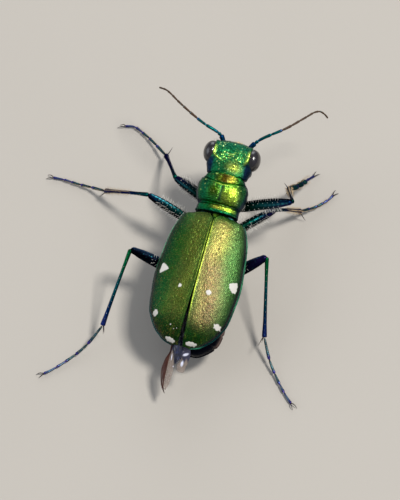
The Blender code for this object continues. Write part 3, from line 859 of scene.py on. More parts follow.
LEG_FINISH = Cuticle(
    "leg_metal", (0.035, 0.045, 0.08), (0.03, 0.07, 0.10), (0.15, 0.42, 0.45),
    layers=(
        Layer("green", (0.05, 0.40, 0.22)),
        Layer("teal", (0.05, 0.34, 0.38)),
        Layer("blue", (0.06, 0.20, 0.40)),
        Layer("violet", (0.32, 0.23, 0.62)),
        Layer("indigo", (0.08, 0.06, 0.36)),
        Layer("grey", (0.34, 0.44, 0.46), metallic=0.6, roughness=0.4),
        Layer("night", (0.03, 0.04, 0.07), roughness=0.3),
        # Painted reflection along the thigh's back.
        Layer("streak", (0.34, 0.74, 0.78), roughness=0.2),
        Layer("brown", (0.30, 0.24, 0.18), metallic=0.1, roughness=0.5),
    ),
    metallic=0.85, grains_per_mm=14.0, grain_depth=0.008, fleck_share=0.05, roughness=0.24, contrast=0.2,
    edge_tint=(0.45, 0.45, 0.60),
)
# Its dark layer is painted shade on the eyes' undersides, and darkens a band behind them.
EYE_FINISH = Gloss(
    "eye_gloss", (0.13, 0.11, 0.13), (0.08, 0.06, 0.07), roughness=0.22, coat=0.7,
    facets_per_mm=34.0, facet_depth=0.003,
    layers=(Layer("dark", (0.08, 0.05, 0.04), metallic=0.0, roughness=0.15),),
)
JAW_FINISH = Gloss(
    "jaw_ivory", (0.86, 0.80, 0.66), (0.78, 0.68, 0.50), roughness=0.35, coat=0.3,
    layers=(Layer("brown", (0.22, 0.11, 0.06), metallic=0.0, roughness=0.25),
            Layer("night", (0.05, 0.05, 0.05), metallic=0.2, roughness=0.2)),
)
CLAW_FINISH = Gloss("claw_chitin", (0.16, 0.10, 0.08), (0.09, 0.06, 0.06), roughness=0.3, coat=0.3)
VEIN_FINISH = Gloss("wing_vein", (0.30, 0.16, 0.11), (0.22, 0.11, 0.08), roughness=0.35, coat=0.2)
FOLD_FINISH = Gloss(
    "wing_fold", (0.05, 0.06, 0.13), (0.14, 0.17, 0.30), roughness=0.16, coat=1.0, mottle_per_mm=4.0,
)
# Its glint layer is a painted highlight on the folds.
WING_FINISH = Membrane(
    "wing_membrane", (0.66, 0.60, 0.54), (0.55, 0.49, 0.47), alpha=0.5,
    layers=(Layer("navy", (0.13, 0.16, 0.28)), Layer("glint", (0.90, 0.91, 0.99))),
)
PALE_HAIR = Gloss("pale_hair", (0.90, 0.89, 0.86), (0.78, 0.77, 0.74), roughness=0.4, mottle_per_mm=1.0)
TAN_HAIR = Gloss("tan_hair", (0.84, 0.76, 0.60), (0.66, 0.55, 0.40), roughness=0.5, mottle_per_mm=1.0)
DARK_HAIR = Gloss("dark_hair", (0.10, 0.09, 0.10), (0.16, 0.13, 0.11), roughness=0.4, mottle_per_mm=1.0)
FLOOR_FINISH = Gloss(
    "floor_paper", (0.69, 0.67, 0.64), (0.685, 0.665, 0.635), roughness=0.85, mottle_per_mm=0.05,
)

Finish = Cuticle | Gloss | Membrane


@cache
def material_of(finish: Finish) -> bpy.types.Material:
    """Return the material of a finish, made on its first use."""
    return finish.dress()


class Slot(Enum):
    """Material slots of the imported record."""

    GREEN = "metallic_green"
    DARK = "metallic_dark"
    LEG = "metallic_leg"
    EYE = "eye"
    IVORY = "ivory"
    WING = "wing"


class Side(Enum):
    """The beetle's own two sides, with the sign of x there."""

    LEFT = -1
    RIGHT = 1

    @property
    def label(self) -> str:
        """The side's name in piece and node names."""
        return self.name.lower()

    @property
    def mirror(self) -> Array:
        """What turns a right-hand point into this side's."""
        return np.array([self.value, 1.0, 1.0])


def place_piece(
    name: str,
    surface: Surface,
    finish: Finish,
    stands_for: tuple[str, ...] = (),
) -> None:
    """Make a mesh piece of a surface, dress it and let it ride on the body.

    Args:
        name: Of the piece.
        surface: Its points in the standing frame, in mm.
        finish: Its material.
        stands_for: CAD nodes that it replaces.
    """
    mesh = bpy.data.meshes.new(name)
    points = surface.points + OFFSET
    points[:, 2] = np.maximum(points[:, 2], 0.0)
    mesh.from_pydata(points * MM, [], surface.faces)
    for mask, values in surface.masks.items():
        attribute = mesh.attributes.new(mask, "FLOAT", "POINT")
        attribute.data.foreach_set("value", np.clip(values, 0.0, 1.0).astype(np.float32))
    if surface.roots is not None:
        corners = np.empty(len(mesh.loops), np.int32)
        mesh.loops.foreach_get("vertex_index", corners)
        bake_map = mesh.uv_layers.new(name="OFBake")
        bake_map.data.foreach_set("uv", surface.roots[corners].astype(np.float32).ravel())
    mesh.shade_smooth()
    mesh.materials.append(material_of(finish))
    piece = bpy.data.objects.new(name, mesh)
    bpy.context.scene.collection.objects.link(piece)
    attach(piece, "root")
    if stands_for:
        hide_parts(*stands_for)
    triangles = sum(len(face) - 2 for face in surface.faces)
    LOG.info("%s: %d triangles", name, triangles)


def superellipse(around: int, squareness: float | Array) -> tuple[Array, Array]:
    """Run round a section, sign(c)|c|^(2/n) of the cosine and of the sine.

    Args:
        around: Points in the section.
        squareness: The power n.

    Returns:
        The side and rise shares, -1 to 1.
    """
    angle = full_turn(around)
    power = 2.0 / squareness
    cos, sin = np.cos(angle), np.sin(angle)
    return np.sign(cos) * np.abs(cos) ** power, np.sign(sin) * np.abs(sin) ** power


def body_rings(
    stations: Rows,
    shares: Array,
    around: int,
    squareness: float,
    waist: float = 0.5,
) -> tuple[Array, ...]:
    """Work out superellipse sections across the body through a few stations.

    Each station gives v, half width, top and bottom. Between them all four follow a monotone cubic. A
    section's widest level lies at the waist share of its height.

    Args:
        stations: Rows of v, half width, top w and bottom w.
        shares: Places from the first station to the last, 0 to 1.
        around: Points in a section.
        squareness: The superellipse's power.
        waist: Level of the greatest width, 0 at the bottom.

    Returns:
        x, v, w and the rise share, each as rows x around.
    """
    table = np.asarray(stations, float)
    keys = np.abs(table[:, 0] - table[0, 0]) / abs(table[-1, 0] - table[0, 0])
    v, half, top, bottom = (through(keys, column, shares)[:, None] for column in table.T)
    side, rise = superellipse(around, squareness)
    middle = bottom + waist * (top - bottom)
    x = half * side
    w = middle + np.where(rise > 0, top - middle, middle - bottom) * rise
    return x, np.broadcast_to(v, x.shape), w, np.broadcast_to(rise, x.shape)


def drawn_in(w: Array, closing: Array) -> Array:
    """Draw each row's levels in to their mean by a share of 1 to 0."""
    middle = w.mean(axis=1, keepdims=True)
    return middle + (w - middle) * closing


@dataclass
class Head:
    """The head capsule, bent down over the mouth, with its wrinkled crown and the brows beside the eyes.

    The keys give v and w of the middle line, how far the sections lean forward in degrees, their half width,
    their height over the line and depth under it, and how square they are. Behind brow_turn each brow turns
    inwards, by the left and the right number of brow_turning.
    """

    middle: Rows = (
        (2.13, -0.1), (2.5, -0.08), (2.85, -0.08), (3.2, -0.12), (3.65, -0.27), (3.95, -0.6), (4.05, -1.0),
    )
    drop: Row = (2.0, 3.0, 5.0, 12.0, 32.0, 54.0, 66.0)
    half: Row = (1.10, 1.20, 1.30, 1.22, 1.14, 0.88, 0.60)
    top: Row = (0.46, 0.56, 0.66, 0.76, 0.78, 0.56, 0.36)
    bottom: Row = (0.55, 0.62, 0.70, 0.80, 0.75, 0.58, 0.40)
    squareness: Row = (2.3, 2.5, 2.8, 3.9, 3.9, 3.0, 2.6)
    rows: int = 210
    around: int = 290
    brow_x: float = 0.96
    brow_turn: float = 3.35
    brow_turning: tuple[float, float] = (2.2, 0.5)
    brow_height: float = 0.11
    hollow_depth: float = 0.05
    wrinkle_depth: float = 0.015

    def rings(self) -> tuple[Array, Array, Array, Array]:
        """Carry superellipse sections along the bent middle line, squarer between the eyes.

        Returns:
            x, v and w of the grid, and the rise share.
        """
        shares = dense_ends(self.rows)
        keys = np.linspace(0, 1, len(self.middle))
        v_mid, w_mid = (through(keys, column, shares)[:, None] for column in np.array(self.middle).T)
        drop = np.radians(through(keys, self.drop, shares))[:, None]
        closing = round_ends(shares, 0.10, 0.16)[:, None]
        sizes = (self.half, self.top, self.bottom)
        half, top, bottom = (through(keys, size, shares)[:, None] * closing for size in sizes)
        side, rise = superellipse(self.around, through(keys, self.squareness, shares)[:, None])
        x = half * side
        height = np.where(rise > 0, top, bottom) * rise
        return x, v_mid + height * np.sin(drop), w_mid + height * np.cos(drop), rise

    def brow_place(self, x: Array, v: Array) -> Array:
        """Return x of the brow on each side: level beside the eye, then inwards by (turn - v)^1.5."""
        turning = np.where(x < 0, *self.brow_turning)
        return np.maximum(self.brow_x - turning * np.clip(self.brow_turn - v, 0.0, 0.5) ** 1.5, 0.25)

    def relief(self, x: Array, v: Array, rise: Array) -> Array:
        """Raise the brows and sink the front hollow and the crown's wrinkles.

        Wrinkles run along the head, waved and broken by slow sines, and fade towards the neck and the cheeks.

        Args:
            x, v, rise: Of each point, where rise is its share of the section's height.

        Returns:
            The height at each point.
        """
        crown = smooth_step(rise, 0.2, 0.8)
        brow = self.brow_height * bell(np.abs(x), self.brow_place(x, v), 0.09)
        brow = brow * smooth_step(v, 2.85, 3.3) * smooth_step(rise, 0.3, 0.6)
        hollow = -self.hollow_depth * bell(x, 0.0, 0.5) * bell(v, 3.62, 0.4) * crown
        waved = x + 0.05 * np.sin(v * 9.0) + 0.03 * np.sin(v * 23.0 + x * 6.0)
        between = smooth_step(v, 2.9, 3.2) * fall(np.abs(x), 0.7, 0.9)
        broken = 0.6 + 0.4 * np.sin(v * 17.0 + 5.0 * np.sin(x * 7.0))
        wrinkles = self.wrinkle_depth * np.sin(waved * 58.0) * broken * between * crown
        cross = 0.006 * np.sin((v + 0.3 * np.abs(x)) * 80.0) * (1 - between) * crown
        grain = 0.010 * (speckle(x, v, 24) - 0.5) * crown
        return brow + hollow + wrinkles + cross + grain

    def masks(self, x: Array, v: Array, rise: Array) -> Masks:
        """Place the head's gold, lime, teal, violet and black, and where it is dull.

        Args:
            x, v, rise: Of each point, where rise is its share of the section's height.

        Returns:
            A mask for each colour.
        """
        upper = smooth_step(rise, 0.1, 0.6)
        window = smooth_step(v, 2.9, 3.15) * fall(v, 3.7, 3.95)
        brow = bell(np.abs(x), self.brow_place(x, v), 0.08) * window
        specks = smooth_step(speckle(x, v, 19), 0.66, 0.9)
        speckled = bell(x, 0.1, 0.65) * bell(v, 3.3, 0.42)
        # Painted highlight: a gold and lime patch right of the middle at the back of the crown, where the
        # light from the right catches it.
        patch = blob(x, v, (0.32, 2.72), (0.34, 0.2))
        nape = 0.6 * bell(np.abs(x), 0.85, 0.25) * bell(v, 2.75, 0.35)
        return {
            "gold": 0.55 * patch * upper,
            "lime": most(0.9 * brow, 0.7 * specks * speckled, 0.5 * patch) * upper,
            "teal": most(0.65 * smooth_step(v, 3.6, 3.95), nape) * upper,
            "violet": 0.9 * (fall(v, 3.0, 3.3) * smooth_step(np.abs(x), 0.78, 1.0)),
            "night": most(fall(rise, -0.55, 0.05), fall(v, 2.2, 2.3)),
            "dull": most(smooth_step(np.abs(x), 0.7, 0.85) * fall(v, 3.0, 3.2), 1 - upper),
        }

    def build(self) -> None:
        """Make the head capsule."""
        x, v, w, rise = self.rings()
        grid = raised(np.stack([x, v, w], -1), self.relief(x, v, rise))
        skin = ring_skin(standing(grid), self.masks(x, v, rise))
        place_piece("head_skin", skin, HEAD_FINISH, ("head",))


@dataclass
class Eyes:
    """The two large bulging eyes, each painted darker underneath as shade, and darker in a band behind."""

    centre_x: float = 1.17
    radii: Point = (0.46, 0.64, 0.57)
    rows: int = 80
    around: int = 96

    def build(self) -> None:
        """Make each eye as an ellipsoid, x = a cos(t), v = b sin(t) cos(p), w = c sin(t) sin(p)."""
        tilt = np.linspace(0.03, np.pi - 0.03, self.rows)[:, None]
        turn = full_turn(self.around)[None]
        wide, long, tall = self.radii
        for side in Side:
            x = side.value * (self.centre_x + wide * np.cos(tilt))
            v = EYE_CENTRE[1] + long * np.sin(tilt) * np.cos(turn)
            w = EYE_CENTRE[2] + tall * np.sin(tilt) * np.sin(turn)
            band = 0.7 * bell(v, EYE_CENTRE[1] - 0.5, 0.22)
            # The dark mask paints shade on the eye's underside and darkens a band behind it.
            skin = ring_skin(standing(stacked(x, v, w)), {"dark": most(fall(w, -0.25, 0.15), band)})
            place_piece(f"eye_{side.label}_globe", skin, EYE_FINISH, (f"eye_{side.label}",))


def bent_down(points: Array, root: tuple[float, float], drop: float) -> Array:
    """Turn the points of a part that is bent down at the front into standing points.

    Args:
        points: x, forward and up of each point, in mm.
        root: v and w of the part's origin.
        drop: Angle of its forward way below the body's axis, in degrees.

    Returns:
        The standing points.
    """
    x, forward, up = np.moveaxis(np.asarray(points, float), -1, 0)
    cos, sin = np.cos(np.radians(drop)), np.sin(np.radians(drop))
    v = root[0] + forward * cos + up * sin
    w = root[1] - forward * sin + up * cos
    return standing(np.stack([x, v, w], -1))


@dataclass
class Mouth:
    """The ivory upper lip with its teeth, the two sickle jaws and the two pairs of feelers of the mouth.

    A root is v and w of a part's origin, and a drop is its forward way's angle below the body's axis. Paths
    hold x, forward and up of the right-hand part, and a jaw's tooth is its share along the jaw and its size.
    """

    root: tuple[float, float] = (4.0, -1.1)
    drop: float = 65.0
    lip_half: float = 0.64
    lip_length: float = 0.62
    lip_root: tuple[float, float] = (4.24, -0.8)
    lip_drop: float = 48.0
    lip_dome: float = 0.14
    jaw_path: tuple[Point, ...] = (
        (0.56, -0.45, -0.40), (0.66, 0.0, -0.46), (0.84, 0.7, -0.42), (0.68, 1.15, -0.4), (0.2, 1.42, -0.4),
    )
    jaw_teeth: Rows = ((0.55, 0.2), (0.75, 0.15))
    palps: tuple[tuple[str, float, tuple[Point, ...]], ...] = (
        ("maxillary_palp", 0.085,
         ((0.62, -0.7, -0.75), (0.78, -0.2, -0.95), (1.0, 0.4, -1.12), (0.92, 1.1, -0.98))),
        ("labial_palp", 0.075,
         ((0.26, -0.65, -0.70), (0.3, -0.1, -0.88), (0.36, 0.5, -1.1), (0.38, 1.03, -1.02))),
    )

    def placed(self, points: Array) -> Array:
        """Turn points of the jaws and feelers into standing points."""
        return bent_down(points, self.root, self.drop)

    def build_lip(self) -> None:
        """Make the upper lip: a thin domed plate whose front edge has three blunt teeth."""
        across = np.linspace(-1, 1, 61)
        down = dense_ends(30)[:, None]
        teeth = 0.10 * (bell(across, 0.0, 0.12) + bell(np.abs(across), 0.45, 0.1))
        reach = self.lip_length * (1 - 0.35 * across**2) + teeth
        forward = -0.1 + down * reach
        x = self.lip_half * across * (1 - 0.25 * down**2)
        dome = np.broadcast_to(self.lip_dome * np.sqrt(np.clip(1 - across**2, 0.0, 1.0)), x.shape)
        ring_x = there_and_back(x, x)
        ring = [ring_x, there_and_back(forward, forward), there_and_back(dome, dome * 0.3 - 0.1)]
        grid = bent_down(np.stack(ring, -1), self.lip_root, self.lip_drop)
        edge = np.broadcast_to(smooth_step(down, 0.88, 0.99) * 0.6, ring_x.shape)
        place_piece("labrum_lip", ring_skin(grid, {"brown": edge}), JAW_FINISH, ("labrum",))

    def build_jaw(self, side: Side) -> None:
        """Make a jaw: a tapered sickle, pale at its root and dark at its point, with two inner teeth.

        Args:
            side: Whose jaw it is.
        """
        shares = dense_ends(60)
        line = np.array(self.jaw_path) * side.mirror
        path = smooth_path(self.placed(line), shares)
        radius = through([0, 0.35, 0.7, 1], [0.2, 0.17, 0.1, 0.03], shares) * round_ends(shares, 0.08, 0.05)
        up = self.placed(np.array([0.0, 0.0, 1.0])) - self.placed(np.zeros(3))
        dark = {"brown": smooth_step(shares, 0.35, 0.6), "night": smooth_step(shares, 0.7, 0.9)}
        parts = [sweep(path, radius * 0.7, radius, up, 28, dark)]
        for place, size in self.jaw_teeth:
            root = smooth_path(line, np.array([place]))[0]
            inward = np.array([-side.value * size, size * 0.3, 0.0])
            tooth = self.placed(root + np.linspace(0.0, 1.0, 12)[:, None] * inward)
            taper = size * 0.4 * (1 - np.linspace(0, 0.96, 12))
            parts.append(sweep(tooth, taper, taper, up, 14, {"night": np.ones(12)}))
        node = f"mandible_{side.label}"
        place_piece(f"{node}_sickle", joined(parts), JAW_FINISH, (node,))

    def build_palp(self, name: str, radius: float, path: tuple[Point, ...], side: Side) -> None:
        """Make a feeler of the mouth, three swelling joints along its path.

        Args:
            name: Of the pair.
            radius: At the joints' thickest.
            path: x, forward and up along the right one.
            side: Whose it is.
        """
        shares = dense_ends(70)
        points = smooth_path(self.placed(np.array(path) * side.mirror), shares)
        joint = np.mod(shares * 3.0, 1.0)
        swell = 0.7 + 0.35 * np.sin(np.pi * joint) ** 0.7
        width = radius * swell * round_ends(shares, 0.1, 0.12)
        shade = {"teal": 0.5 * bell(joint, 0.5, 0.25), "night": 0.6 * (1 - bell(joint, 0.5, 0.3))}
        skin = sweep(points, width, width, np.array([1.0, 0.1, 0.1]), 20, shade)
        node = f"{name}_{side.label}"
        place_piece(f"{node}_joints", skin, UNDER_FINISH, (node,))

    def build(self) -> None:
        """Make the lip, the jaws and the palps."""
        self.build_lip()
        for side in Side:
            self.build_jaw(side)
            for name, radius, path in self.palps:
                self.build_palp(name, radius, path, side)


@dataclass
class Antenna:
    """A thread feeler of eleven joints: the first four metallic and bare, the others dull and downy."""

    side: Side
    path: tuple[Point, ...]
    joint_lengths: Row = (1.25, 0.4, 1.9, 1.5, 1.35, 1.25, 1.2, 1.15, 1.1, 1.05, 1.0)
    base_radius: float = 0.115
    tip_radius: float = 0.055
    root_swell: float = 1.35
    rows_a_joint: int = 16
    metal_joints: int = 4

    def build(self) -> None:
        """Make the feeler, which thickens towards each joint's end and is pinched between joints."""
        number, within, shares = jointed(self.joint_lengths, self.rows_a_joint, 0.04)
        path = smooth_path(self.path, shares)
        radius = self.tip_radius + (self.base_radius - self.tip_radius) * (1 - shares) ** 1.6
        pinch = 1 - 0.4 * bell(within, 0.0, 0.09) - 0.3 * bell(within, 1.0, 0.06)
        radius = radius * (0.82 + 0.26 * within**2) * pinch * round_ends(shares, 0.015, 0.02)
        radius = radius * np.where(number == 0, self.root_swell, 1.0)
        metal = number < self.metal_joints
        middle = bell(within, 0.6, 0.3)
        masks = {
            "green": 0.8 * metal * (number > 1) * middle,
            "teal": metal * np.where(number > 0, 0.7, 0.5 * middle),
            "blue": 0.55 * (number == 0) + 0.4 * (number == 2) * bell(within, 0.15, 0.15),
            "violet": 0.4 * (number == 3) * bell(within, 1.0, 0.2),
            "brown": 1.0 - metal,
        }
        skin = sweep(path, radius, radius, np.array([0.1, 0.2, 1.0]), 18, masks)
        label = self.side.label
        place_piece(f"antenna_{label}_joints", skin, LEG_FINISH, (f"antenna_{label}",))
        LOG.info("antenna %s has %d joints", label, len(self.joint_lengths))


@dataclass
class Prothorax:
    """The shield behind the head, with its front and rear lobes, two cross grooves and middle line.

    A station is v, half width, top and bottom. The front groove is groove_bow further forwards at bow_half.
    """

    stations: Rows = (
        (-0.03, 1.12, 0.40, -0.72), (0.06, 1.22, 0.53, -0.92), (0.42, 1.20, 0.60, -0.98),
        (0.80, 1.34, 0.80, -1.02), (1.20, 1.43, 0.88, -1.05), (1.55, 1.43, 0.84, -1.02),
        (1.85, 1.33, 0.73, -0.95), (2.10, 1.20, 0.66, -0.86), (2.36, 1.10, 0.52, -0.70),
    )
    squareness: float = 2.3
    rear_groove: float = 0.5
    front_groove: float = 1.67
    groove_bow: float = 0.28
    bow_half: float = 1.2
    groove_depth: float = 0.12
    line_depth: float = 0.06
    rows: int = 210
    around: int = 280

    def front_line(self, x: Array) -> Array:
        """Return v of the front groove, which bows back in the middle: v0 + bow (x / half)^2."""
        return self.front_groove + self.groove_bow * (x / self.bow_half) ** 2

    def rear_line(self, x: Array) -> Array:
        """Return v of the rear groove, which bows back a little: v0 - 0.04 (1 - (x / half)^2)."""
        return self.rear_groove - 0.04 * (1 - (x / self.bow_half) ** 2)

    def relief(self, x: Array, v: Array, rise: Array) -> Array:
        """Raise the lobes and rims, and sink the grooves, the middle line and fine wrinkles.

        Args:
            x, v, rise: Of each point, where rise is its share of the section's height.

        Returns:
            The height at each point.
        """
        upper = smooth_step(rise, -0.1, 0.4)
        grooves = bell(v, self.front_line(x), 0.055) + bell(v, self.rear_line(x), 0.07)
        line = bell(x, 0.0, 0.05) * smooth_step(v, 0.55, 0.65) * fall(v, 1.55, 1.7)
        lobes = 0.05 * bell(np.abs(x), 0.6, 0.4) * bell(v, 1.15, 0.42)
        rims = 0.04 * (bell(v, 0.06, 0.045) + bell(v, 2.3, 0.03))
        folds = 0.009 * np.sin((v + 0.12 * np.sin(x * 9.0)) * 55.0 + 2.0 * np.sin(x * 17.0))
        grain = 0.008 * (speckle(x, v, 26) - 0.5)
        height = lobes + rims + folds + grain - self.groove_depth * grooves - self.line_depth * line
        return upper * height

    def masks(self, x: Array, v: Array, rise: Array) -> Masks:
        """Place the shield's gold, amber, olive, lime, teal, violet and black, and where it is dull.

        Args:
            x, v, rise: Of each point, where rise is its share of the section's height.

        Returns:
            A mask for each colour.
        """
        front = self.front_line(x)
        lobe = smooth_step(v, front + 0.03, front + 0.1) * fall(v, 2.22, 2.28)
        rear = fall(v, 0.38, 0.46) * smooth_step(v, 0.17, 0.22)
        upper = smooth_step(rise, 0.35, 0.75)
        # Painted highlight on the right lobe, where the light from the right catches it: a bright lime spot
        # inside a gold fringe.
        bright = blob(x, v, (0.66, 1.15), (0.36, 0.36))
        highlight_fringe = blob(x, v, (0.6, 1.0), (0.55, 0.45)) - bright
        dim = blob(x, v, (-0.42, 1.15), (0.36, 0.40))
        line = bell(x, 0.02, 0.07) * smooth_step(v, 0.55, 0.7) * fall(v, 1.5, 1.65)
        ledge = bell(v, front - 0.07, 0.06) * bell(x, 0.2, 0.6)
        # Painted shade in the rear groove, over its middle and right part.
        groove = bell(v, self.rear_groove, 0.06) * smooth_step(x, -0.5, 0.0) * fall(x, 0.95, 1.15)
        gold = most(0.6 * lobe * bell(x, 0.38, 0.28), 0.6 * rear * bell(x, 0.05, 0.3), 0.5 * highlight_fringe)
        flanks = most(0.6 * bell(np.abs(x), 1.15, 0.2), 0.7 * bell(x, -1.0, 0.35))
        ends = most(0.35 * bell(v, 0.15, 0.02), 0.9 * smooth_step(v, 2.27, 2.31))
        return {
            "gold": gold * upper,
            "amber": 0.95 * lobe * bell(x, -0.02, 0.40) * upper,
            "olive": most(0.9 * dim, 0.7 * lobe * bell(x, -0.28, 0.22)) * upper,
            "lime": most(0.9 * bright, ledge, 0.8 * rear * bell(x, 0.6, 0.5)) * upper,
            "teal": most(0.6 * line, flanks, 0.8 * bell(v, 0.05, 0.07)),
            "violet": 0.85 * fall(rise, 0.3, 0.62),
            "night": most(fall(rise, -0.2, 0.25), 0.9 * groove, 0.85 * line * bell(v, 0.75, 0.2), ends),
            "dull": 1 - smooth_step(rise, 0.4, 0.7) * (1 - bell(v, 0.1, 0.12)),
        }

    def build(self) -> None:
        """Make the shield with its underside, whose front edge bows back at the sides."""
        shares = dense_ends(self.rows)
        x, v, w, rise = body_rings(self.stations, shares, self.around, self.squareness)
        closing = round_ends(shares, 0.02, 0.03)[:, None]
        bowed = v - 0.24 * (x / self.bow_half) ** 2 * smooth_step(v, 1.9, 2.34)
        grid = np.stack([x * closing, bowed, drawn_in(w, closing)], -1)
        grid = raised(grid, self.relief(x, v, rise))
        skin = ring_skin(standing(grid), self.masks(x, v, rise))
        place_piece("prothorax_shield", skin, THORAX_FINISH, ("prothorax",))


@dataclass
class Underbody:
    """The rear thorax with the small triangle between the wing cases, and the ringed abdomen.

    A station is v, half width, top and bottom.
    """

    thorax: Rows = (
        (0.42, 0.8, 0.3, -0.8), (0.1, 1.0, 0.35, -1.0), (-0.3, 1.55, 0.2, -1.2), (-1.2, 1.84, 0.2, -1.32),
        (-2.4, 2.02, 0.2, -1.36), (-3.4, 2.06, 0.2, -1.34), (-3.8, 1.9, 0.1, -1.3),
    )
    abdomen: Rows = (
        (-3.6, 1.9, 0.1, -1.25), (-4.2, 2.08, 0.15, -1.36), (-5.0, 2.12, 0.12, -1.4),
        (-6.2, 1.98, 0.0, -1.44), (-7.0, 1.58, -0.1, -1.43), (-7.35, 1.30, -0.16, -1.38),
        (-7.7, 0.94, -0.26, -1.28), (-7.95, 0.60, -0.4, -1.16), (-8.12, 0.30, -0.62, -1.0),
    )
    tail_swing: float = 0.5
    ring_length: float = 0.8
    ring_step: float = 0.06
    scutellum_half: float = 0.24
    scutellum_length: float = 0.42

    def build_thorax(self) -> None:
        """Make the rear thorax, with plate seams between the legs' roots and pits on its sides."""
        shares = dense_ends(120)
        x, v, w, rise = body_rings(self.thorax, shares, 200, 2.6)
        closing = round_ends(shares, 0.04, 0.05)[:, None]
        grid = np.stack([x * closing, v, w], -1)
        plates = bell(v, -1.55 - 0.25 * rise, 0.04) + bell(v, -0.2 - 0.2 * rise, 0.04)
        seams = plates + bell(x, 0.0, 0.03) * (rise < 0)
        coarse = pits(w * 1.0 + x * 0.6, v, 0.16, 0.05, 3.0)
        grid = raised(grid, -0.05 * np.minimum(seams, 1.0) - 0.02 * coarse)
        masks = {"violet": 0.5 * bell(rise, 0.0, 0.35), "teal": 0.4 * bell(rise, -0.4, 0.3) * (1 - coarse)}
        skin = ring_skin(standing(grid), masks)
        place_piece("pterothorax_plates", skin, UNDER_FINISH, ("pterothorax",))

    def build_scutellum(self) -> None:
        """Make the small triangle between the cases: a low ridge that narrows to its rear point."""
        shares = dense_ends(50)[:, None]
        v = -0.02 - self.scutellum_length * shares
        half = self.scutellum_half * (1 - shares) ** 0.8 * round_ends(shares, 0.12, 0.05)
        side, rise = superellipse(60, 2.0)
        x = half * side
        top = 0.42 + 0.42 * shares**0.7
        w = top - 0.25 + (0.22 * rise) * round_ends(shares, 0.15, 0.1)
        masks = {"lime": np.broadcast_to(0.4 * bell(shares, 0.4, 0.3), x.shape)}
        skin = ring_skin(standing(stacked(x, v, w)), masks)
        place_piece("scutellum", skin, THORAX_FINISH)

    def build_abdomen(self) -> None:
        """Make the abdomen: glossy black rings, each sunk where it meets the next, swung to the right."""
        shares = dense_ends(150)
        x, v, w, rise = body_rings(self.abdomen, shares, 200, 2.5, 0.38)
        closing = round_ends(shares, 0.03, 0.04)[:, None]
        swing = self.tail_swing * smooth_step(-v, 5.8, 7.6)
        grid = np.stack([x * closing + swing, v, drawn_in(w, closing)], -1)
        phase = np.mod((v - self.abdomen[-1][0]) / self.ring_length, 1.0)
        step = self.ring_step * smooth_step(phase, 0.0, 0.12) * fall(phase, 0.9, 1.0) - self.ring_step
        ledge = 0.05 * bell(rise, 0.12, 0.1)
        fine = pits(x, v, 0.11, 0.035, 5.0)
        grid = raised(grid, step + ledge - 0.008 * fine)
        masks = {
            "night": 0.7 + 0.3 * (rise > 0),
            "violet": 0.3 * bell(rise, -0.5, 0.3) * (1 - fine),
            "teal": 0.25 * bell(rise, -0.9, 0.3),
            "pleura": 0.8 * bell(rise, 0.26, 0.12) * fall(-v, 7.0, 7.5),
        }
        skin = ring_skin(standing(grid), masks)
        place_piece("abdomen_rings", skin, UNDER_FINISH, ("abdomen",))

    def build(self) -> None:
        """Make the rear thorax, the small triangle and the abdomen."""
        self.build_thorax()
        self.build_scutellum()
        self.build_abdomen()


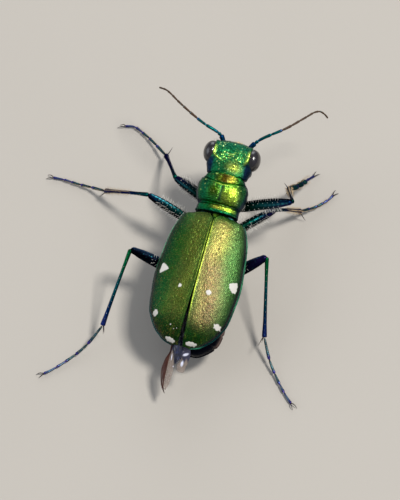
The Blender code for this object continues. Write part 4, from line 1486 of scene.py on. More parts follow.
@dataclass
class WingCase:
    """One wing case: a thin domed shell, closely pitted, with six-spot marks and a raised edge at the seam.

    The half widths and rises stand at shares along the case. The triangle has its corners' x and v, an oval
    is x, v, half width, half length and slant, and a row of pits is x, first v, step and count. The outer arc
    has so many steps across, and one step of the inner arc spans inner_step of them.
    """

    side: Side
    triangle: Rows
    ovals: Rows
    front: float = -0.1
    length: float = 7.78
    squareness: float = 2.25
    thickness: float = 0.13
    rows: int = 310
    across: int = 192
    inner_step: int = 4
    half_keys: Row = (0, 0.02, 0.06, 0.15, 0.34, 0.5, 0.69, 0.78, 0.85, 0.9, 0.94, 0.97, 1)
    half_values: Row = (
        1.55, 1.84, 1.97, 2.12, 2.34, 2.43, 2.32, 2.19, 1.94, 1.68, 1.38, 1.08, 0.5,
    )
    rise_keys: Row = (0, 0.04, 0.12, 0.3, 0.6, 0.8, 0.92, 0.97, 1)
    rise_values: Row = (0.52, 0.76, 0.98, 1.14, 1.2, 1.05, 0.76, 0.56, 0.28)
    pit_spacing: float = 0.098
    pit_radius: float = 0.046
    pit_depth: float = 0.016
    pit_rows: tuple[tuple[float, float, float, int], ...] = (
        (0.72, -0.85, 0.33, 8), (1.55, -0.55, 0.26, 6), (0.95, -5.4, 0.4, 4),
    )
    large_radius: float = 0.075
    large_depth: float = 0.025
    warm_keys: Row = (-8.0, -6.3, -5.4, -3.9, -2.7, -1.9, 0.3)
    warm_values: Row = (0.8, 0.82, 0.84, 0.62, 0.5, 0.69, 0.69)
    bead_x: float = 0.05

    @property
    def right(self) -> bool:
        """Whether it is the right case."""
        return self.side is Side.RIGHT

    def pick(self, right: float, left: float) -> float:
        """Return the value of this case's side."""
        return right if self.right else left

    def seam(self, along: Array) -> Array:
        """Return the half gap at the middle: round the front triangle, closed, then opening at the rear."""
        notch = 0.25 * fall(self.length * along - self.front, 0.1, 0.5)
        return 0.012 + notch + 0.11 * smooth_step(along, 0.5, 1.02)

    def sections(self) -> tuple[Array, Array, Array]:
        """Work out the shell's sections.

        The outer arc runs from the seam at the top to the margin at the side: x is seam plus the width times
        sin(t)^(2/n) and w is the rise times cos(t)^(2/n). The inner arc runs back, thinner by the thickness.

        Returns:
            The grid of closed sections, the share along the case of each row, and of each column the share
            across it, from 0 at the seam to 1 at the margin.
        """
        along = 0.7 * dense_ends(self.rows) + 0.3 * np.linspace(0.0005, 0.9995, self.rows)
        half = through(self.half_keys, self.half_values, along)[:, None]
        rise = through(self.rise_keys, self.rise_values, along)[:, None]
        seam = self.seam(along)[:, None]
        power = 2.0 / self.squareness
        outer = np.linspace(0.0, 1.0, self.across + 1)
        inner = outer[:: self.inner_step][::-1]
        thin = self.thickness * (1 - 0.6 * (1 - round_ends(along, 0.02, 0.02)))[:, None]
        share = np.concatenate([outer, inner])
        depth = np.concatenate([np.zeros_like(outer), np.ones_like(inner)])[None] * thin
        turn = share * np.pi / 2
        x = seam + (half - depth - seam) * np.sin(turn) ** power
        w = (rise - depth) * np.cos(turn) ** power
        bow = 0.1 * fall(along, 0.0, 0.2)[:, None]
        v = (self.front - self.length * along)[:, None] - bow * x**2
        return np.stack([x, v, w], -1), along, share

    def spots(self, x: Array, v: Array) -> Array:
        """Place the ivory marks: edge triangle, dot on the disc, rear edge oval, crescent at the tip, specks.

        The triangle is the greatest distance outside its sides, and each oval is a distance over its radii.
        Slow sines make both edges wavy.

        Args:
            x, v: Of each point.

        Returns:
            1 on a mark and 0 off them.
        """
        wavy = np.sin(x * 31.0 + 3.0 * self.side.value) * np.sin(v * 27.0)
        corners = np.array(self.triangle)
        edge = unit(np.roll(corners, -1, axis=0) - corners)
        outside = most(*(
            (x - corner[0]) * way[1] - (v - corner[1]) * way[0] for corner, way in zip(corners, edge)
        ))
        middle_x, middle_v = corners.mean(axis=0)
        rounded = 0.40 * np.clip(np.hypot(x - middle_x, v - middle_v) - 0.25, 0.0, 1.0)
        marks = [fall(outside + rounded + 0.015 * wavy, -0.015, 0.02)]
        for place_x, place_v, wide, long, slant in self.ovals:
            away_x, away_v = x - place_x, v - place_v - slant * (x - place_x)
            distance = np.hypot(away_x / wide, away_v / long) + 0.18 * wavy
            marks.append(fall(distance, 0.9, 1.1))
        return most(*marks)

    def big_pits(self, x: Array, v: Array) -> Array:
        """Sink the rows of larger pits on the disc and inside the shoulder, each 1 - (d / radius)^2 deep.

        Args:
            x, v: Of each point.

        Returns:
            The depth share at each point.
        """
        depth = np.zeros_like(x)
        for row_x, first_v, step, count in self.pit_rows:
            for number in range(count):
                place_x = row_x + 0.05 * np.sin(number * 2.1)
                distance = np.hypot(x - place_x, v - first_v + number * step)
                depth = most(depth, np.clip(1 - (distance / self.large_radius) ** 2, 0, 1))
        return depth

    def masks(self, *grids: Array) -> Masks:
        """Place the case's leaf green, gold, rose, olive, teal, deep green, lime, black, painted rim
        highlight and ivory.

        The light falls from the right, and the gold, rose and leaf green of the right case and the olive of
        the left one are painted reflections of it, strong on the right and weak on the left.

        Args:
            *grids: x, v, the shares across and along the case, and the depth shares of fine and large pits.

        Returns:
            A mask for each colour, for the pits and for where it is dull.
        """
        x, v, share, along, fine, large = grids
        middle = through(self.warm_keys, self.warm_values, v.ravel()).reshape(v.shape)
        kept = fall(along, 0.78, 0.92)
        # Band along the seam where the gold and rose are painted reflection of the light.
        reflection_band = bell(x, middle, 0.53) * kept * smooth_step(along, 0.0, 0.1)
        wide = bell(x, middle + 0.2, 0.72) * kept
        patchy = 0.88 + 0.12 * np.sin(x * 9.0 + 4.0 * np.sin(v * 3.1)) * np.sin(v * 7.0 + 2.0 * x)
        streak = chance(np.round((x + 0.25 * v) * 16), np.round(v * 5))
        edge = x - self.seam(along)
        bead = bell(edge, self.bead_x, 0.03) * smooth_step(along, 0.04, 0.1)
        rear = smooth_step(along, 0.72, 0.94)
        late = smooth_step(along, 0.22, 0.46)
        margin = smooth_step(share, 0.74, 0.84)
        wavering = 0.7 + 0.3 * np.sin(v * 5.3 + x)
        rim = smooth_step(share, 0.955, 0.97)
        seam_shade = self.pick(0.0, 0.55) * fall(edge, 0.0, 0.12) * smooth_step(along, 0.42, 0.62)
        # Painted light: the right case, towards the light, gets bright leaf green and strong painted
        # reflection; the left case only a weak one.
        if self.right:
            leaf = 0.90 * smooth_step(x, 0.9, 1.4) * (1 - 0.25 * late - 0.25 * rear)
            bead = bead * fall(along, 0.66, 0.86)
            lit = most(0.6 * smooth_step(v, -6.4, -4.4), bell(v, -7.72, 0.12))
            dull = most(0.9 * margin, 1.0 - reflection_band - 0.15)
        else:
            leaf = 0.35 * patchy * fall(along, 0.06, 0.2)
            bead = 0.4 * bead * fall(along, 0.35, 0.6)
            lit = smooth_step(v, -4.1, -3.3)
            dull = np.full_like(x, 0.6)
        return {
            # The side picks below paint the reflection strong on the right case and weak, olive, on the left.
            "leaf": leaf,
            "gold": self.pick(0.90, 0.12) * reflection_band * patchy,
            "rose": self.pick(0.88, 0.12) * wide * late * patchy,
            "olive": self.pick(0.12, 0.82) * bell(x, 0.58, 0.58) * patchy * (1 - 0.6 * rear),
            "teal": self.pick(0.72, 0.95) * smooth_step(share, self.pick(0.62, 0.28), 0.84),
            "deep": most(self.pick(0.75, 0.9) * rear * (0.8 + 0.2 * streak), seam_shade),
            "lime": most(bead, 0.14 * rear * smooth_step(streak, 0.7, 1.0) * (1 - margin)),
            "night": 0.92 * margin * (1 - rim),
            "rim": rim,
            # Painted highlight along the rim where it is lit, with a slow waver.
            "mint": 0.9 * rim * lit * wavering,
            "pit": most(0.42 * fine, 0.3 * large) * (1 - margin),
            "ivory": self.spots(x, v),
            "dull": dull,
        }

    def relief(self, *grids: Array) -> Array:
        """Raise the edge bead, the flange and the shoulder, and sink the pits and low waves.

        Args:
            *grids: As for the masks.

        Returns:
            The height at each point.
        """
        x, v, share, along, fine, large = grids
        bead = 0.035 * bell(x - self.seam(along), self.bead_x, 0.04)
        flange = 0.05 * bell(share, 1.0, 0.02) - 0.03 * bell(share, 0.95, 0.02)
        shoulder = 0.10 * blob(x, v, (1.5, -0.5), (0.25, 0.3))
        waves = 0.012 * np.sin(v * 2.1 + x * 3.0) * np.sin(x * 4.3)
        sunk = bead + flange + shoulder + waves - self.pit_depth * fine - self.large_depth * large
        return sunk * round_ends(along, 0.01, 0.01)

    def build(self) -> None:
        """Make the shell: pits and edge bead on the outer face, plain inside, closed strips at both ends."""
        grid, along, share = self.sections()
        rows, columns = grid.shape[:2]
        outer = np.arange(columns) <= self.across
        walked = np.cumsum(np.linalg.norm(np.diff(grid, axis=1, prepend=grid[:, :1]), axis=-1), axis=1)
        x, v, _ = np.moveaxis(grid, -1, 0)
        share, along = np.broadcast_arrays(share[None], along[:, None])
        fine = pits(walked, v, self.pit_spacing, self.pit_radius, 2.0 + self.side.value)
        fine = fine * (1 - self.spots(x, v))
        grids = (x, v, share, along, fine, self.big_pits(x, v))
        lifted = grid + self.outer_normals(grid) * (self.relief(*grids) * outer)[..., None]
        masks = self.masks(*grids)
        masks = {name: values * outer for name, values in masks.items()}
        masks["night"] = np.where(outer, masks["night"], 1.0)
        lifted[..., 0] *= self.side.value
        index = np.arange(rows * columns).reshape(rows, columns)
        faces = ring_quads(index)
        faces += self.end_strip(index[0]) + [face[::-1] for face in self.end_strip(index[-1])]
        flat = {name: values.ravel() for name, values in masks.items()}
        skin = Surface(standing(lifted).reshape(-1, 3), faces, flat).outwards()
        label = self.side.label
        place_piece(f"elytron_{label}_shell", skin, CASE_FINISH, (f"elytron_{label}",))

    def outer_normals(self, grid: Array) -> Array:
        """Work out the outer face's normals, up and outwards.

        Args:
            grid: Of the closed sections.

        Returns:
            The normals, which are nothing on the inner face.
        """
        normals = np.zeros_like(grid)
        normal = grid_normals(grid[:, : self.across + 1], False)
        normals[:, : self.across + 1] = np.sign(normal[..., 2].sum()) * normal
        return normals

    def end_strip(self, ring: Array) -> list[list[int]]:
        """Close an end section between its outer and inner arcs with one face for each inner step.

        Args:
            ring: Point numbers of the section.

        Returns:
            The faces.
        """
        outer = ring[: self.across + 1]
        inner = ring[self.across + 1 :][::-1]
        strips = []
        for number in range(len(inner) - 1):
            start = number * self.inner_step
            edge = outer[start : start + self.inner_step + 1].tolist()
            strips.append([int(inner[number + 1]), int(inner[number])] + edge)
        return [strip[::-1] for strip in strips]


@dataclass
class HindWing:
    """The tip of one folded flying wing, past the wing cases: a dark leading blade and a clear membrane.

    A station is v, inner x and outer x, and a glint, a painted highlight where a fold would shine, is x, v,
    half width, half length and slant. The skin is folded dark ahead of navy_from.
    """

    side: Side
    blade: Rows
    membrane: Rows
    painted_glints: Rows
    navy_from: float
    blade_finish: Gloss
    fold_height: float = 0.012
    middle_keys: Row = (-10.6, -9.4, -8.6, -8.1, -7.6, -7.0, -5.5, -1.0)
    middle_values: Row = (-1.0, -0.82, -0.55, -0.22, 0.0, 0.12, 0.3, 0.3)

    def shades(self, x: Array, v: Array) -> Masks:
        """Place the dark folds near the cases, and the soft slanted patches of painted highlight where a fold
        would shine white.

        Args:
            x, v: Of each point.

        Returns:
            A mask for each.
        """
        painted_glints = [
            np.exp(-(((x - place_x) / wide) ** 2) - ((v - place_v - slant * (x - place_x)) / long) ** 2)
            for place_x, place_v, wide, long, slant in self.painted_glints
        ]
        waved = v + 0.1 * np.sin(x * 23.0)
        return {
            "navy": 0.9 * smooth_step(waved, self.navy_from - 0.12, self.navy_from + 0.12),
            "glint": smooth_step(most(*painted_glints), 0.35, 0.8),
        }

    def sheet(
        self,
        stations: Rows,
        thickness: float,
        curl: float,
        ridges: float,
    ) -> Surface:
        """Spread a thin closed sheet between two edges that follow the stations.

        The level follows the wing's middle line, bowed up by curl * sin(pi s) across, with lengthwise ridges
        of the given height at even shares.

        Args:
            stations: Rows of v, inner x and outer x.
            thickness: Of the sheet.
            curl: Height of its bow.
            ridges: Height of the veins.

        Returns:
            The closed sheet.
        """
        table = np.array(stations)[::-1]
        v = np.linspace(table[0, 0], table[-1, 0], 90)[:, None]
        inner, outer = (through(table[:, 0], column, v) for column in table[:, 1:].T)
        level = through(self.middle_keys, self.middle_values, v)
        share = np.linspace(0, 1, 33)
        bow = curl * np.sin(np.pi * share) + ridges * np.sin(share * np.pi * 5) ** 8
        calm_end = smooth_step(v, table[0, 0], table[0, 0] + 0.5)
        folds = self.fold_height * calm_end * np.sin(v * 9.0) * np.sin(share * 7.0)
        x = inner + (outer - inner) * share
        top = level + bow + folds + thickness / 2
        ring_x, ring_v, ring_w = np.broadcast_arrays(
            there_and_back(x, x), v, there_and_back(top, top - thickness)
        )
        skin = standing(np.stack([ring_x, ring_v, ring_w], -1))
        return ring_skin(skin, self.shades(ring_x, ring_v))

    def build(self) -> None:
        """Make the blade and the membrane."""
        label = self.side.label
        blade = self.sheet(self.blade, 0.05, 0.10, 0.03)
        place_piece(f"hindwing_{label}_blade", blade, self.blade_finish, (f"hindwing_{label}",))
        membrane = self.sheet(self.membrane, 0.02, 0.05, 0.02)
        place_piece(f"hindwing_{label}_membrane", membrane, WING_FINISH)


THIGH_PLACES = (0.0, 0.1, 0.3, 0.6, 0.8, 0.92, 1.0)
THIGH_SWELL = (0.62, 0.90, 1.04, 1.02, 0.88, 0.68, 0.58)
SHIN_PLACES = (0, 0.06, 0.3, 0.75, 1)
SHIN_SWELL = (1.15, 1.1, 0.88, 0.98, 1.40)
HIP_PLACES = (0, 0.5, 0.78, 1)
HIP_RADII = (0.42, 0.38, 0.25, 0.24)
FOOT_JOINTS = (1.7, 1.15, 0.95, 0.75, 1.1)


@dataclass
class Leg:
    """One leg from hip to claws.

    Attributes:
        hip: In the body frame.
        knee: In the standing frame, as all that follows.
        toes: The foot's path, from the shin's end to the root of the claws.
        pads: How much wider the first three foot joints are.
        rust: How much of the shin's end has tan hair.
        seed: Of the leg's random draws.
        green_reach: Share of the shin that is green before it turns blue.
        dusk: How dark the shin is.
        indigo: How violet the shin's outer half is.
        shine: How bright the painted reflection, a broken streak along the thigh's back, is.
        shade: How much painted shade darkens the thigh's back.
    """

    name: str
    hip: Point
    knee: Point
    toes: tuple[Point, ...]
    thigh_radius: float = 0.30
    pads: float = 0.0
    rust: float = 0.0
    seed: float = 1.0
    shin_radius: float = 0.115
    foot_radius: float = 0.082
    green_reach: float = 0.16
    dusk: float = 0.5
    indigo: float = 0.0
    shine: float = 0.0
    shade: float = 0.0
    claw_reach: float = 0.36
    claw_spread: float = 0.13
    spur_lengths: tuple[float, float] = (0.72, 0.5)

    @property
    def hind(self) -> bool:
        """Whether it is one of the last pair."""
        return self.name.startswith("hind")

    def hip_point(self) -> Array:
        """Return the hip in the standing frame."""
        return standing(np.array(self.hip))

    def plane_normal(self) -> Array:
        """Return the unit normal of the plane through hip, knee and shin's end."""
        hip, knee, ankle = self.hip_point(), np.array(self.knee), np.array(self.toes[0])
        return unit(np.cross(knee - hip, ankle - knee))

    def bowed(self, start: Array, end: Array, rise: float, shares: Array) -> Array:
        """Run from a start to an end through their middle, lifted by a rise, and return a point a share."""
        middle = (start + end) / 2 + np.array([0, 0, rise])
        return smooth_path(np.array([start, middle, end]), shares)

    def thigh_path(self, shares: Array) -> Array:
        """Return the thigh's middle line from hip to knee at so many shares."""
        return self.bowed(self.hip_point(), np.array(self.knee), 0.08, shares)

    def shin_path(self, shares: Array) -> Array:
        """Return the shin's middle line from knee to its end at so many shares."""
        return self.bowed(np.array(self.knee), np.array(self.toes[0]), 0.05, shares)

    def upward(self) -> float:
        """Find which way a section's second axis points on the thigh.

        Returns:
            The sign that makes it point up.
        """
        path = self.thigh_path(np.array([0.45, 0.55]))
        second = np.cross(path[1] - path[0], self.plane_normal())
        return float(np.sign(second[2])) or 1.0

    def thigh(self) -> Surface:
        """Make the thigh: thickest a quarter along, drawn in to the knee, with painted highlights and a
        broken streak of painted reflection on its back.

        Returns:
            The closed surface.
        """
        shares = dense_ends(90)
        along = shares[:, None]
        radius = through(THIGH_PLACES, THIGH_SWELL, shares)
        radius = radius * self.thigh_radius * round_ends(shares, 0.05, 0.05)
        angle = full_turn(48)
        lift = np.sin(angle)[None] * self.upward()
        top = smooth_step(lift, 0.35, 1.0)
        broken = smooth_step(along, 0.25, 0.85) * fall(along, 0.9, 0.97) * (0.6 + 0.4 * np.sin(along * 90.0))
        blue_top, grey_top = (0.5, 0.16) if self.hind else (0.0, 0.0)
        blue = most(0.28 * smooth_step(along, 0.65, 0.9), blue_top * smooth_step(along, 0.2, 0.5))
        # The green, teal, blue and grey on the thigh's back are painted highlights in the leg's own metal
        # colours, the darker underside and the shade setting are painted shade, and the streak is a painted
        # reflection.
        masks = {
            "green": 0.20 * top * bell(along, 0.35, 0.25),
            "teal": 0.22 * top * bell(along, 0.6, 0.25),
            "blue": top * blue,
            "violet": 0.25 * bell(np.cos(angle), -0.9, 0.5)[None] * smooth_step(along, 0.5, 0.9),
            "grey": grey_top * top,
            "night": 0.7 * (1 - top) + self.shade * top,
            "streak": self.shine * bell(lift, 1.0, 0.03) * broken,
        }
        return sweep(self.thigh_path(shares), radius * 0.85, radius, self.plane_normal(), 48, masks)

    def hip_joint(self) -> Surface:
        """Make the hip piece, which starts nearer the middle, and the small ring between it and the thigh.

        Returns:
            The closed surface.
        """
        inner = standing(np.array(self.hip) - np.array([np.sign(self.hip[0]) * 0.45, 0.0, -0.1]))
        first = self.thigh_path(np.array([0.07]))[0]
        shares = dense_ends(40)
        path = smooth_path(np.array([inner, self.hip_point(), first]), shares)
        radius = through(HIP_PLACES, HIP_RADII, shares) * round_ends(shares, 0.2, 0.15)
        masks = {"violet": 0.4 * bell(shares, 0.4, 0.2), "night": 0.6 * bell(shares, 0.75, 0.08)}
        return sweep(path, radius, radius, np.array([0.2, 1.0, 0.3]), 30, masks)

    def shin(self) -> Surface:
        """Make the shin: slender, a little wider at its end, green at the knee and then blue.

        Returns:
            The closed surface.
        """
        shares = dense_ends(110)
        radius = through(SHIN_PLACES, SHIN_SWELL, shares)
        radius = radius * self.shin_radius * round_ends(shares, 0.03, 0.015)
        blue_from = self.green_reach + 0.05
        masks = {
            "green": 0.9 * fall(shares, 0.4 * self.green_reach, self.green_reach),
            "teal": 0.8 * bell(shares, self.green_reach, 0.2),
            "blue": 0.85 * smooth_step(shares, blue_from, blue_from + 0.3),
            "violet": 0.15 * smooth_step(shares, 0.8, 0.98),
            "indigo": self.indigo * smooth_step(shares, 0.25, 0.5),
            "night": most(0.4 * bell(shares, 0.0, 0.05), self.dusk),
            "brown": 0.35 * self.rust * smooth_step(shares, 0.5, 0.8),
        }
        return sweep(self.shin_path(shares), radius, radius * 0.9, self.plane_normal(), 26, masks)

    def foot(self) -> Surface:
        """Make the five foot joints, each a cone that widens to its end, the first three wider as pads.

        Returns:
            The closed surface.
        """
        number, within, shares = jointed(FOOT_JOINTS, 18, 0.03)
        flare = 0.72 + 0.42 * within**1.5
        pinch = 1 - 0.35 * bell(within, 0.0, 0.1) - 0.35 * bell(within, 1.0, 0.05)
        radius = self.foot_radius * (1.12 - 0.3 * shares) * flare * pinch * round_ends(shares, 0.02, 0.015)
        pad = 1.0 + self.pads * (number < 3) * np.sin(np.pi * within) ** 0.5
        masks = {
            "grey": 0.7 * bell(within, 0.45, 0.35) * (1 - self.dusk),
            "violet": most(0.8 * bell(within, 1.0, 0.16), 0.4 * (number > 2)),
            "teal": 0.4 * bell(within, 0.6, 0.3),
            "night": 0.6 * self.dusk * (number < 2) * bell(within, 0.45, 0.35),
            "green": 0.2 * self.pads * (number < 3) * bell(within, 0.5, 0.3),
        }
        path = smooth_path(np.array(self.toes), shares)
        return sweep(path, radius * pad, radius * (1 + 0.3 * (pad - 1)), self.foot_reference(), 18, masks)

    def foot_reference(self) -> Array:
        """Return the level direction square to the foot's run."""
        run = np.array(self.toes[-1]) - np.array(self.toes[0])
        return unit(np.cross(run, np.array([0.0, 0.0, 1.0])))

    def claws(self) -> Surface:
        """Make the two claws: curved horns that part from the last joint and bend down to the floor.

        A claw runs its reach along the foot, parts by its spread times the root of the share along it, and
        first rises as a sine and then drops with the square of the share.

        Returns:
            Both as one surface.
        """
        end = np.array(self.toes[-1])
        run = unit(end - np.array(self.toes[-2]))
        level = unit(np.array([run[0], run[1], 0.0]))
        aside = self.foot_reference()
        share = np.linspace(0.0, 1.0, 22)
        parts = []
        for sign in (-1.0, 1.0):
            path = (
                end
                + level * (self.claw_reach * share[:, None])
                + aside * (sign * self.claw_spread * np.sqrt(share + 0.02)[:, None])
                + np.array([0, 0, 1.0]) * (0.07 * np.sin(np.pi * share) - 0.09 * share**2)[:, None]
            )
            radius = 0.028 * (1 - share) ** 0.7 + 0.006
            parts.append(sweep(path, radius, radius, np.array([0.05, 0.1, 1.0]), 10))
        return joined(parts)

    def spurs(self) -> Surface:
        """Make the two spines at the shin's end, under it and to each side.

        Returns:
            Both as one surface.
        """
        ankle = self.shin_path(np.array([0.97]))[0]
        run = unit(np.array(self.toes[0]) - np.array(self.knee))
        aside = self.plane_normal()
        down = unit(np.cross(run, aside))
        down = down * (-1 if down[2] > 0 else 1)
        share = np.linspace(0.0, 1.0, 16)[:, None]
        parts = []
        for sign, length in zip((-1.0, 1.0), self.spur_lengths):
            way = unit(run * 0.65 + aside * sign * 0.6 + down * 0.35)
            path = ankle + way * (length * share) + run * (0.1 * share**2)
            radius = 0.035 * (1 - share[:, 0]) ** 0.8 + 0.005
            parts.append(sweep(path, radius, radius, np.array([0.31, 0.2, 0.9]), 10))
        return joined(parts)

    def hair_rows(
        self,
        path: Array,
        radius: Array | float,
        turns: Row,
        length: float,
        lean: float,
        strand: float,
    ) -> Surface:
        """Grow rows of hairs along a limb, one row at each angle round it.

        Each hair's draws turn it by up to 0.125 round the limb and by up to a quarter along it, and change
        its length by up to a quarter.

        Args:
            path: Roots' places along the limb's middle line.
            radius: The limb's half width, at each or at all.
            turns: Angle of each row round the limb, from the plane's normal.
            length: Of a hair.
            lean: Forward lean along the limb, as a share of the outward way.
            strand: Radius of a hair.

        Returns:
            The hairs.
        """
        tangent = unit(np.gradient(path, axis=0))
        normal = self.plane_normal()
        first = unit(normal - (tangent @ normal)[:, None] * tangent)
        second = np.cross(tangent, first)
        count = len(path)
        radius = np.broadcast_to(radius, count)
        turn = np.repeat(np.array(turns), count)
        station = np.tile(np.arange(count), len(turns))
        draw = chance(station, turn * 10, self.seed)
        other = chance(station, turn * 10, self.seed + 5)
        turn = turn + 0.25 * (draw - 0.5)
        out = first[station] * np.cos(turn)[:, None] + second[station] * np.sin(turn)[:, None]
        way = unit(out + tangent[station] * (lean + 0.5 * (other - 0.5))[:, None])
        roots = path[station] + out * (radius[station] * 0.85)[:, None]
        places = np.stack([np.mod(turn / (2 * np.pi), 1.0), station / max(count - 1, 1)], -1)
        return hairs(roots, way, length * (0.75 + 0.5 * draw), strand, places, 0.05)

    def bristles(self) -> Surface:
        """Make the white bristles of the thigh and the short spines of the shin.

        Returns:
            All of it.
        """
        reach = np.linspace(0.22, 0.62, 11) if self.hind else np.linspace(0.22, 0.78, 15)
        radius = through(THIGH_PLACES, THIGH_SWELL, reach) * self.thigh_radius
        up = self.upward()
        turns = tuple(up * turn for turn in (0.15, 0.7, 2.45, 3.0, 3.5, 5.9))
        sides = self.hair_rows(self.thigh_path(reach), radius, turns, 0.30, 0.3, 0.017)
        turns = (up * 1.15, up * 2.0)
        back = self.hair_rows(self.thigh_path(reach[::2]), radius[::2] * 0.95, turns, 0.13, 0.0, 0.026)
        path = self.shin_path(np.linspace(0.15, 0.9, 11))
        shin = self.hair_rows(path, self.shin_radius * 0.9, (0.2, 2.9), 0.13, 0.5, 0.008)
        return joined([sides, back, shin])

    def brush(self) -> Surface:
        """Make the fine tan hair of the shin's end and under the foot.

        Returns:
            All of it.
        """
        path = smooth_path(np.array(self.toes), np.linspace(0.03, 0.8, 12 if self.hind else 26))
        radius = self.foot_radius * (1 + 0.6 * self.pads)
        turns = (0.0, 0.5, 2.7, 3.14)
        foot = self.hair_rows(path, radius, turns, 0.11 + 0.05 * self.pads, 0.7, 0.007)
        if self.rust <= 0:
            return foot
        path = self.shin_path(0.4 + 0.58 * np.linspace(0.0, 1.0, 24) ** 0.8)
        turns = (0.0, 1.1, 2.2, 3.1, 4.2, 5.2)
        shin = self.hair_rows(path, self.shin_radius, turns, 0.16 + 0.05 * self.rust, 0.6, 0.010)
        return joined([foot, shin])

    def build(self) -> None:
        """Make the leg's skin, claws, spurs and hair."""
        stands_for = tuple(f"{part}_{self.name}" for part in ("coxa", "femur", "tibia", "tarsus"))
        skin = joined([self.hip_joint(), self.thigh(), self.shin(), self.foot()])
        place_piece(f"leg_{self.name}", skin, LEG_FINISH, stands_for)
        place_piece(f"claws_{self.name}", self.claws(), CLAW_FINISH)
        place_piece(f"spurs_{self.name}", self.spurs(), CLAW_FINISH)
        place_piece(f"bristles_{self.name}", self.bristles(), PALE_HAIR)
        place_piece(f"brush_{self.name}", self.brush(), TAN_HAIR)


@dataclass
class BodyHair:
    """Single hairs of the body: dark ones by the feelers' roots and pale ones on the flanks."""

    head_hairs: int = 10
    flank_hairs: int = 160
    strand: float = 0.010

    def build_head(self) -> None:
        """Grow the dark hairs between the eyes, which point forwards and up."""
        number = np.arange(self.head_hairs)
        side = np.where(number % 2, 1.0, -1.0)
        draw = chance(number, 3.0)
        x = side * (0.55 + 0.5 * draw)
        roots = standing(stacked(x, 4.0 - 0.3 * draw, 0.1))
        way = unit(stacked(0.4 * side, 1.0, 0.15 + 0.4 * draw))
        places = np.stack([0.5 + 0.3 * x, 0.9 - 0.2 * draw], -1)
        skin = hairs(roots, way, 0.45 + 0.25 * draw, self.strand, places)
        place_piece("head_setae", skin, DARK_HAIR)

    def build_flanks(self) -> None:
        """Grow the pale hairs along both flanks, which point out and back."""
        number = np.arange(self.flank_hairs)
        side = np.where(number % 2, 1.0, -1.0)
        first, second = chance(number, 11.0), chance(number, 17.0)
        v = 2.0 - 7.5 * first
        half = np.where(v > 0.3, 1.25, 1.95)
        roots = standing(stacked(side * half * (1 - 0.05 * second), v, -0.35 - 0.5 * second))
        way = unit(stacked(side, -0.9 - 0.6 * second, -0.35))
        places = np.stack([0.25 + 0.5 * (side > 0) + 0.1 * second, first], -1)
        skin = hairs(roots, way, 0.22 + 0.14 * second, self.strand, places)
        place_piece("flank_setae", skin, PALE_HAIR)

    def build(self) -> None:
        """Grow the head's and the flanks' hairs."""
        self.build_head()
        self.build_flanks()


LEGS = (
    Leg("front_left", (-0.66, 0.95, -1.35), (-3.01, 2.46, 2.6),
        ((-4.16, 4.72, 0.6), (-5.08, 5.49, 0.32), (-5.75, 5.95, 0.2), (-6.53, 6.28, 0.16),
         (-6.95, 6.2, 0.13)),
        thigh_radius=0.33, indigo=0.8, shine=0.12, shade=0.7, seed=1.0),
    Leg("front_right", (0.66, 0.95, -1.35), (3.9, 1.84, 4.2),
        ((3.19, 3.83, 1.8), (3.56, 4.45, 1.25), (3.75, 4.97, 0.8), (3.98, 5.58, 0.32), (4.13, 5.85, 0.14)),
        thigh_radius=0.33, pads=1.6, rust=0.4, dusk=0.8, shine=0.35, seed=2.0),
    Leg("middle_left", (-0.85, -0.6, -1.4), (-4.17, 0.93, 2.8),
        ((-6.84, 1.57, 0.8), (-7.79, 1.82, 0.35), (-8.55, 1.91, 0.2), (-9.55, 2.0, 0.14),
         (-10.0, 1.99, 0.12)),
        rust=0.6, green_reach=0.07, indigo=0.5, shine=0.9, seed=3.0),
    Leg("middle_right", (0.85, -0.6, -1.4), (2.94, 1.84, 2.8),
        ((4.01, 3.2, 0.7), (4.37, 3.57, 0.42), (4.72, 3.91, 0.25), (5.31, 4.63, 0.14), (5.47, 4.95, 0.12)),
        rust=1.0, indigo=0.5, seed=4.0),
    Leg("hind_left", (-0.8, -3.6, -1.3), (-4.15, -2.9, 3.3),
        ((-4.72, -6.85, 1.1), (-5.33, -7.92, 0.5), (-5.92, -8.69, 0.24), (-6.94, -9.85, 0.14),
         (-7.25, -10.1, 0.12)),
        thigh_radius=0.31, green_reach=0.5, dusk=0.12, seed=5.0),
    Leg("hind_right", (0.8, -3.6, -1.3), (3.3, -1.42, 3.3),
        ((4.16, -5.18, 1.0), (4.74, -6.22, 0.45), (5.3, -6.97, 0.22), (6.23, -8.06, 0.14),
         (6.55, -8.35, 0.12)),
        thigh_radius=0.31, green_reach=0.5, dusk=0.12, seed=6.0),
)
ANTENNAE = (
    Antenna(Side.RIGHT, ((0.72, 4.15, 4.62), (0.95, 4.46, 4.78), (1.29, 4.81, 4.95), (1.94, 5.26, 5.15),
                         (2.57, 5.78, 5.2), (2.99, 6.27, 5.15), (3.39, 6.82, 5.0), (3.77, 7.42, 4.7),
                         (4.04, 7.66, 4.4), (4.25, 7.70, 4.1), (4.42, 7.66, 3.85))),
    Antenna(Side.LEFT, ((-0.65, 4.15, 4.62), (-0.9, 4.5, 4.85), (-1.13, 4.62, 4.95), (-1.79, 4.78, 5.15),
                        (-2.6, 5.15, 5.2), (-3.75, 5.9, 5.05), (-4.6, 6.6, 4.7), (-5.15, 6.95, 4.2))),
)
CASES = (
    WingCase(
        Side.LEFT,
        triangle=((1.64, -3.88), (2.17, -4.24), (2.09, -3.50)),
        ovals=((0.78, -4.73, 0.09, 0.11, 0.0), (1.78, -6.45, 0.15, 0.19, 0.0),
               (0.62, -7.70, 0.27, 0.10, 0.25), (0.76, -6.94, 0.04, 0.04, 0.0),
               (0.54, -7.14, 0.025, 0.025, 0.0), (0.38, -7.08, 0.02, 0.02, 0.0)),
    ),
    WingCase(
        Side.RIGHT,
        triangle=((1.83, -3.94), (1.90, -4.15), (2.10, -4.36), (2.27, -4.34), (2.27, -3.60)),
        ovals=((0.87, -4.76, 0.15, 0.14, 0.0), (1.78, -6.45, 0.20, 0.17, 0.0),
               (0.57, -7.69, 0.31, 0.10, 0.12)),
    ),
)
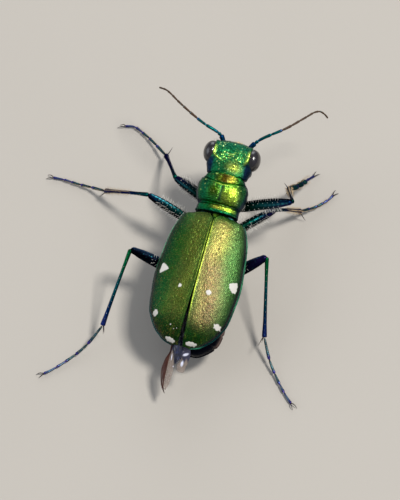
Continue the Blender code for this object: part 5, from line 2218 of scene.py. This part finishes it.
WINGS = (
    HindWing(
        Side.LEFT,
        blade=((-7.0, -0.60, -0.45), (-8.14, -0.53, -0.46), (-8.6, -0.72, -0.50), (-9.13, -0.80, -0.505),
               (-9.67, -0.71, -0.49), (-10.08, -0.57, -0.44), (-10.41, -0.33, -0.29)),
        membrane=((-7.0, -0.50, -0.30), (-8.1, -0.49, -0.35), (-8.4, -0.52, -0.27), (-8.8, -0.53, -0.16),
                  (-9.3, -0.53, -0.15), (-9.8, -0.50, -0.18), (-10.2, -0.44, -0.29)),
        painted_glints=((-0.37, -8.45, 0.03, 0.22, 0.0), (-0.18, -8.88, 0.04, 0.04, 0.0)),
        navy_from=-8.15,
        blade_finish=VEIN_FINISH,
    ),
    HindWing(
        Side.RIGHT,
        blade=((-5.6, -0.16, 0.10), (-7.0, -0.20, 0.14), (-7.92, -0.42, 0.15), (-8.26, -0.31, 0.13),
               (-8.76, -0.14, -0.08)),
        membrane=((-7.4, -0.05, 0.50), (-7.97, 0.00, 0.60), (-8.2, 0.10, 0.64), (-8.5, 0.10, 0.58),
                  (-8.78, 0.00, 0.50), (-8.98, 0.04, 0.48), (-9.1, 0.14, 0.42)),
        painted_glints=((0.38, -8.17, 0.20, 0.09, 0.45), (0.27, -8.64, 0.10, 0.21, 0.0)),
        navy_from=-8.5,
        blade_finish=FOLD_FINISH,
        fold_height=0.04,
    ),
)


@dataclass(frozen=True)
class Lamp:
    """A square soft light that faces the beetle, so many metres off and so many wide, of so many watts."""

    name: str
    way: Point
    distance: float
    size: float
    power: float
    colour: Colour

    def hang(self) -> None:
        """Hang the light in its place and turn it to the beetle."""
        data = bpy.data.lights.new(self.name, "AREA")
        data.size = self.size
        data.energy = self.power
        data.color = self.colour
        light = bpy.data.objects.new(self.name, data)
        place = Vector(self.way).normalized() * self.distance
        light.location = place
        light.rotation_mode = "QUATERNION"
        light.rotation_quaternion = place.to_track_quat("Z", "Y")
        bpy.context.scene.collection.objects.link(light)


@dataclass
class Studio:
    """The pale floor, the soft lights and the camera at the photograph's angle.

    Angles are in degrees and distances in metres, but the picture spans view_height mm, and it is aimed so
    many mm aside and below a body point, the subject.
    """

    elevation: float = 62.0
    azimuth: float = 15.0
    distance: float = 0.6
    view_height: float = 27.78
    sensor: float = 36.0
    subject: Point = (0.0, 0.0, 0.75)
    aside: float = -0.861
    below: float = -2.167
    floor_half: float = 2.0
    lamps: tuple[Lamp, ...] = (
        Lamp("key", (0.42, 0.12, 0.9), 0.6, 0.12, 3.4, (1.0, 0.97, 0.92)),
        Lamp("fill_left", (-0.9, -0.2, 0.55), 0.7, 0.5, 1.2, (0.90, 0.95, 1.0)),
        Lamp("back", (-0.2, 1.0, 0.45), 0.7, 0.4, 1.2, (0.95, 0.98, 1.0)),
    )
    sky: Row = (0.85, 0.90, 1.0, 1.0)
    sky_strength: float = 0.38

    def axes(self) -> tuple[Vector, Vector, Vector]:
        """Work out the camera's directions from its azimuth and elevation.

        Returns:
            Its right, up and back.
        """
        turn, lift = np.radians(self.azimuth), np.radians(self.elevation)
        right = Vector((np.cos(turn), np.sin(turn), 0.0))
        up = Vector((-np.sin(turn) * np.sin(lift), np.cos(turn) * np.sin(lift), np.cos(lift)))
        return right, up, right.cross(up)

    def place_camera(self) -> None:
        """Aim the camera so that the body's front middle falls where it does in the photograph."""
        right, up, back = self.axes()
        spot = Vector((standing(np.array(self.subject)) + OFFSET) * MM)
        target = spot + right * (self.aside * MM) + up * (self.below * MM)
        data = bpy.data.cameras.new("view")
        data.sensor_width = self.sensor
        data.lens = self.sensor * self.distance / (self.view_height * MM)
        data.clip_start, data.clip_end = 0.01, 10.0
        camera = bpy.data.objects.new("view", data)
        turned = Matrix((right, up, back)).transposed().to_4x4()
        camera.matrix_world = Matrix.Translation(target + back * self.distance) @ turned
        bpy.context.scene.collection.objects.link(camera)
        bpy.context.scene.camera = camera

    def place_floor(self) -> None:
        """Lay a pale matt floor under the feet, with a faint grain."""
        mesh = bpy.data.meshes.new("floor")
        half = self.floor_half
        corners = [(-half, -half, 0), (half, -half, 0), (half, half, 0), (-half, half, 0)]
        mesh.from_pydata(corners, [], [(0, 1, 2, 3)])
        mesh.materials.append(material_of(FLOOR_FINISH))
        floor = bpy.data.objects.new("floor", mesh)
        bpy.context.scene.collection.objects.link(floor)

    def light_up(self) -> None:
        """Light the set with the lamps and a pale sky."""
        for lamp in self.lamps:
            lamp.hang()
        world = bpy.data.worlds.new("sky")
        world.use_nodes = True
        background = world.node_tree.nodes["Background"]
        background.inputs["Color"].default_value = self.sky
        background.inputs["Strength"].default_value = self.sky_strength
        bpy.context.scene.world = world
        bpy.context.scene.view_settings.view_transform = "Standard"

    def build(self) -> None:
        """Set up floor, lights and camera."""
        self.place_floor()
        self.light_up()
        self.place_camera()


def main() -> None:
    """Build the beetle piece by piece and set up the studio."""
    logging.basicConfig(level=logging.INFO, format="%(message)s")
    Studio().build()
    Head().build()
    Eyes().build()
    Mouth().build()
    for antenna in ANTENNAE:
        antenna.build()
    Prothorax().build()
    Underbody().build()
    for part in (*CASES, *WINGS, *LEGS):
        part.build()
    BodyHair().build()


if __name__ == "__main__":
    main()
